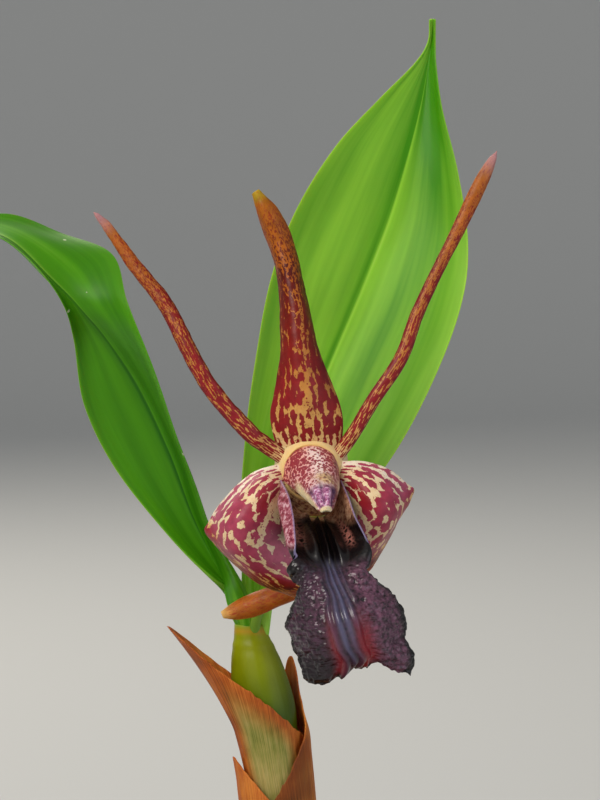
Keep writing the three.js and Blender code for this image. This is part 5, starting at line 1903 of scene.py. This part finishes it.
@dataclass
class Lip:
    """The lip: a trough between two side lobes, three glossy keels and a warty blade."""

    long: int = 300
    wide: int = 150
    knob: Pair = (0.435, -1)

    def fanned(self, u: Array, v: Array) -> Array:
        """Returns the blade's fine ridges, from -1 to 1, which sway to the side along it."""
        return np.cos(v * 46 + 5 * np.sin(u * 5))

    def half(self, u: Array, v: Array) -> Array:
        """Half-thickness: stout flesh, thinner walls, and a knob at the left lobe's end.

        Args:
            u: Places along.
            v: Places across.

        Returns:
            Half-thicknesses.
        """
        flesh = stations([(0, 0.6), (0.3, 0.5), (0.5, 0.6), (0.85, 0.5), (0.97, 0.35), (1, 0.08)], u)
        walls = 1 - 0.45 * smooth(0.5, 0.9, np.abs(v)) * smooth(0.42, 0.3, u)
        return flesh * walls + 0.9 * bell(u, self.knob[0], 0.04) * bell(v, self.knob[1], 0.25)

    def relief(self, u: Array, v: Array, middle: Array) -> tuple[Array, Array]:
        """Keels, grooves and warts.

        Three keels stand along the throat. Down the blade run fine ridges in the middle, a
        valley on either side of it, and wrinkles with warts over the cushions beside them.

        Args:
            u: Places along.
            v: Places across.
            middle: The middle surface.

        Returns:
            How far the front and the back face stand out.
        """
        side = np.abs(v)
        throat = smooth(0.08, 0.115, u) * smooth(0.42, 0.3, u)
        keels = 1.35 * throat * sum(bell(v, place, 0.085) for place in (-0.3, -0.02, 0.26))
        blade = smooth(0.4, 0.54, u)
        ridges = 0.13 * smooth(0.36, 0.46, u) * self.fanned(u, v) * smooth(0.34, 0.2, np.abs(v + 0.03))
        valley = -0.6 * smooth(0.58, 0.85, u) * (bell(v, -0.33, 0.11) + 1.2 * bell(v, 0.3, 0.1))
        cushion = smooth(0.38, 0.5, u) * smooth(0.2, 0.42, np.abs(v + 0.02))
        cushion = cushion * (1 - 0.5 * smooth(0.93, 1, side))
        warts = 0.34 * np.abs(noise(middle, 0.75, 31)) + 0.2 * np.abs(noise(middle, 0.4, 35))
        warts = 0.3 * rough(middle, 2, 21, 2) + warts
        front = keels + ridges + valley + cushion * (warts - 0.15)
        return front, -0.6 * valley + 0.25 * blade * warts

    def shift(self, u: Array, v: Array, middle: Array) -> Array:
        """Moves the margins: waves in and out, steps in the left one, and teeth round the end.

        Args:
            u: Places along.
            v: Places across.
            middle: The middle surface.

        Returns:
            The moves.
        """
        margin = smooth(0.7, 1, np.abs(v)) * smooth(0.42, 0.55, u)
        waves = 0.45 * margin * noise(middle, 2.4, 41)
        teeth = 0.3 * smooth(0.9, 1, u) * rough(middle * [1, 0, 0], 1, 43, 2)
        sides = 0.2 * margin * noise(middle * [0, 0, 1], 0.8, 44) * np.sign(v)
        steps = 0.6 * bell(u, 0.555, 0.03) - 0.3 * bell(u, 0.46, 0.03) + 0.4 * bell(u, 0.385, 0.02)
        return joined(sides + steps * smooth(0.75, 1, -v), waves, teeth)

    def masks(self, skin: Skin) -> None:
        """Adds the marks that the finish reads, one for each colour.

        Args:
            skin: The lip's skin.
        """
        u, v, front = (skin.marks[k] for k in ("share", "across", "front"))
        side = np.abs(v)
        blade = smooth(0.36, 0.5, u)
        rim = 0.1 + 0.04 * noise(skin.points, 2, 51) + 0.03 * smooth(-0.5, 0.5, v)
        inner = smooth(0, 1, (1 - side) / rim - 0.4) * (1 - bell(u, 0.46, 0.06) * smooth(0.6, 0.85, -v))
        inner = inner * (1 - smooth(0.95, 0.99, u) * smooth(0.7, 0.3, v))
        # Painted shade: the sheen all but leaves the blade's lower left corner, which stays black.
        corner = 1 - 0.85 * smooth(0.76, 0.95, u) * smooth(-0.15, -0.5, v)
        low = smooth(0.6, 0.84, u) * smooth(1, 0.95, u)
        valleys = low * (bell(v, 0.26, 0.13) + 0.6 * bell(v, -0.25, 0.09))
        centre = bell(v, -0.03, 0.2) * (0.6 + 0.4 * self.fanned(u, v)) * (1 - 0.7 * smooth(0.78, 0.95, u))
        wall = smooth(0.36, 0.48, side) * smooth(0.33, 0.24, u)
        wall = wall * (1 - smooth(0.5, 0.62, v) * smooth(0.06, 0.14, u))
        deep = u + 0.05 * bell(v, 0, 0.3) - 0.04 * smooth(0.35, 0.7, side)
        skin.marks |= {
            # Painted sheen, strongest on the shoulders and thin at the margins.
            "bloom": blade * inner * corner * (0.6 + 0.4 * smooth(0.2, 0.5, side)) * front,
            "rosy": smooth(-0.1, 0.4, v) * 0.85 + 0.5 * bell(v, -0.4, 0.2) * bell(u, 0.6, 0.12),
            "crimson": np.clip(valleys, 0, 0.9) * front,
            # Painted sheen on the middle ridges.
            "steel": 0.75 * smooth(0.34, 0.44, u) * centre * front,
            "pink": 0.9 * wall * front,
            "tan": 0.9 * smooth(0.17, 0.09, deep) * front,
            "wine": (1 - front) * smooth(0.5, 0.62, -v) * smooth(0.36, 0.3, u),
            # Painted highlight along the side lobes' margins.
            "lilac": 0.7 * smooth(0.975, 0.995, side) * smooth(0.44, 0.38, u),
        }

    def build(self) -> None:
        """Puts the lip in place of its node."""
        skin = Blade(LIP, self.long, self.wide, self.half, self.relief, self.shift).skin()
        self.masks(skin)
        put("lip_flesh", shot(skin), "lip", LipSkin("fleshy_lip").make())


def build_tepals() -> None:
    """Builds the three sepals and the two petals with their own markings."""
    dorsal = Blotched("blotched_dorsal_sepal", length=1.7)
    lateral = Blotched("blotched_lateral_sepals", length=1.9, roughness=0.4)
    thick = ((0, 0.45), (0.25, 0.5), (0.45, 0.65), (0.6, 0.8), (0.85, 0.75), (1, 0.3))
    DorsalSepal("dorsal_sepal", DORSAL_SEPAL, dorsal, thick).build()
    thick = ((0, 0.45), (0.45, 0.4), (0.6, 0.6), (0.75, 0.85), (0.9, 0.7), (1, 0.3))
    LateralSepal("lateral_sepal_left", LEFT_SEPAL, lateral, thick, (0.36, -0.45, 0.2)).build()
    LateralSepal("lateral_sepal_right", RIGHT_SEPAL, lateral, thick, (0.33, 0.4, 0.35), redder=0.04).build()
    left = ((0, 1), (0.15, 1.15), (0.4, 1.15), (0.6, 1.1), (0.8, 0.85), (0.93, 0.5), (1, 0.25))
    right = ((0, 1), (0.15, 0.95), (0.4, 0.95), (0.65, 0.85), (0.85, 1), (0.94, 0.75), (1, 0.25))
    Petal("petal_left", LEFT_PETAL, left, (0.3, 0.4)).build()
    Petal("petal_right", RIGHT_PETAL, right, (0.2, 1)).build()


# Studio


@dataclass
class Studio:
    """A pale sweep, soft light and the camera at the photograph's viewing angle.

    The camera stands 500 mm in front of the flower, level with it in the shoot's frame.

    Attributes:
        eye: Where the camera stands, in the shoot's frame.
        lens: Its focal length; 36 mm of sensor height then show 108 mm at the flower.
        aim: What the lights point at, in metres.
        paper: The sweep's pale grey.
        sky: The sky's colour and strength.
    """

    eye: Triple = (0.0, -526.0, 78.0)
    lens: float = 500 / 3
    aim: Triple = (0.0, -0.02, 0.15)
    paper: str = "#c9cbcc"
    sky: tuple[str, float] = ("#e6e6e4", 0.36)

    def camera(self) -> None:
        """Places the camera in the shoot's frame, looking along its Y axis."""
        data = bpy.data.cameras.new("camera")
        data.lens = self.lens
        data.sensor_width = 36.0
        data.clip_start = 0.01
        view = placed("camera", data)
        view.location = in_shoot(np.array(self.eye)) * MM
        view.rotation_euler = (math.pi / 2 + SHOOT_LEAN, 0, 0)
        bpy.context.scene.camera = view

    def light(self, name: str, place: tuple, size: float, watts: float, shade: str) -> None:
        """Adds a square soft light that points at the flower.

        Args:
            name: The light's name.
            place: Where it stands, in metres.
            size: Its side, in metres.
            watts: Its power.
            shade: Its colour.
        """
        data = bpy.data.lights.new(name, "AREA")
        data.size = size
        data.energy = watts
        data.color = linear(shade)[:3]
        lamp = placed(name, data)
        lamp.location = place
        aim = np.array(self.aim) - np.array(place)
        turned = math.atan2(aim[1], aim[0]) - math.pi / 2
        lamp.rotation_euler = (math.pi / 2 + math.asin(aim[2] / np.linalg.norm(aim)), 0, turned)

    def sweep(self) -> None:
        """Makes the floor, which curves up into a backdrop far behind: a circle's quarter."""
        turn = np.linspace(0, np.pi / 2, 24)
        depth = np.concatenate([[-3.0], 1.4 + 0.8 * np.sin(turn), [2.2]])
        height = np.concatenate([[0.0], 0.8 - 0.8 * np.cos(turn), [3.5]])
        points = joined(np.array([[-4.0], [4.0]]), depth, height).reshape(-1, 3)
        n = len(depth)
        near = np.arange(n - 1)
        faces = np.stack([near, near + n, near + n + 1, near + 1], axis=-1)
        mesh = bpy.data.meshes.new("sweep")
        mesh.from_pydata(points.tolist(), [], faces.tolist())
        mesh.polygons.foreach_set("use_smooth", np.ones(len(faces), bool))
        paper = bpy.data.materials.new("studio_paper")
        paper.use_nodes = True
        shader = paper.node_tree.nodes["Principled BSDF"]
        shader.inputs["Base Color"].default_value = linear(self.paper)
        shader.inputs["Roughness"].default_value = 0.9
        mesh.materials.append(paper)
        placed("sweep", mesh)

    def build(self) -> None:
        """Sets up camera, sweep, lights and the soft sky."""
        self.camera()
        self.sweep()
        self.light("key", (-0.55, -0.75, 0.85), 0.6, 10.5, "#fffaf2")
        self.light("fill", (0.9, -0.6, 0.35), 0.9, 2.6, "#eaf1ff")
        self.light("back", (-0.3, 0.8, 0.7), 0.7, 5.0, "#fff6e6")
        world = bpy.data.worlds.new("soft_sky")
        world.use_nodes = True
        colour, strength = world.node_tree.nodes["Background"].inputs[:2]
        colour.default_value, strength.default_value = linear(self.sky[0]), self.sky[1]
        bpy.context.scene.world = world
        bpy.context.scene.view_settings.view_transform = "Standard"


def main() -> None:
    """Builds the studio and the plant."""
    logging.basicConfig(level=logging.INFO, format="%(message)s")
    Studio().build()
    Pot().build()
    PottingBark().build()
    Rhizome().build()
    OldPseudobulb().build()
    Pseudobulb().build()
    build_sheaths()
    build_leaves()
    FlowerStalk().build()
    Column().build()
    build_tepals()
    Lip().build()


if __name__ == "__main__":
    main()
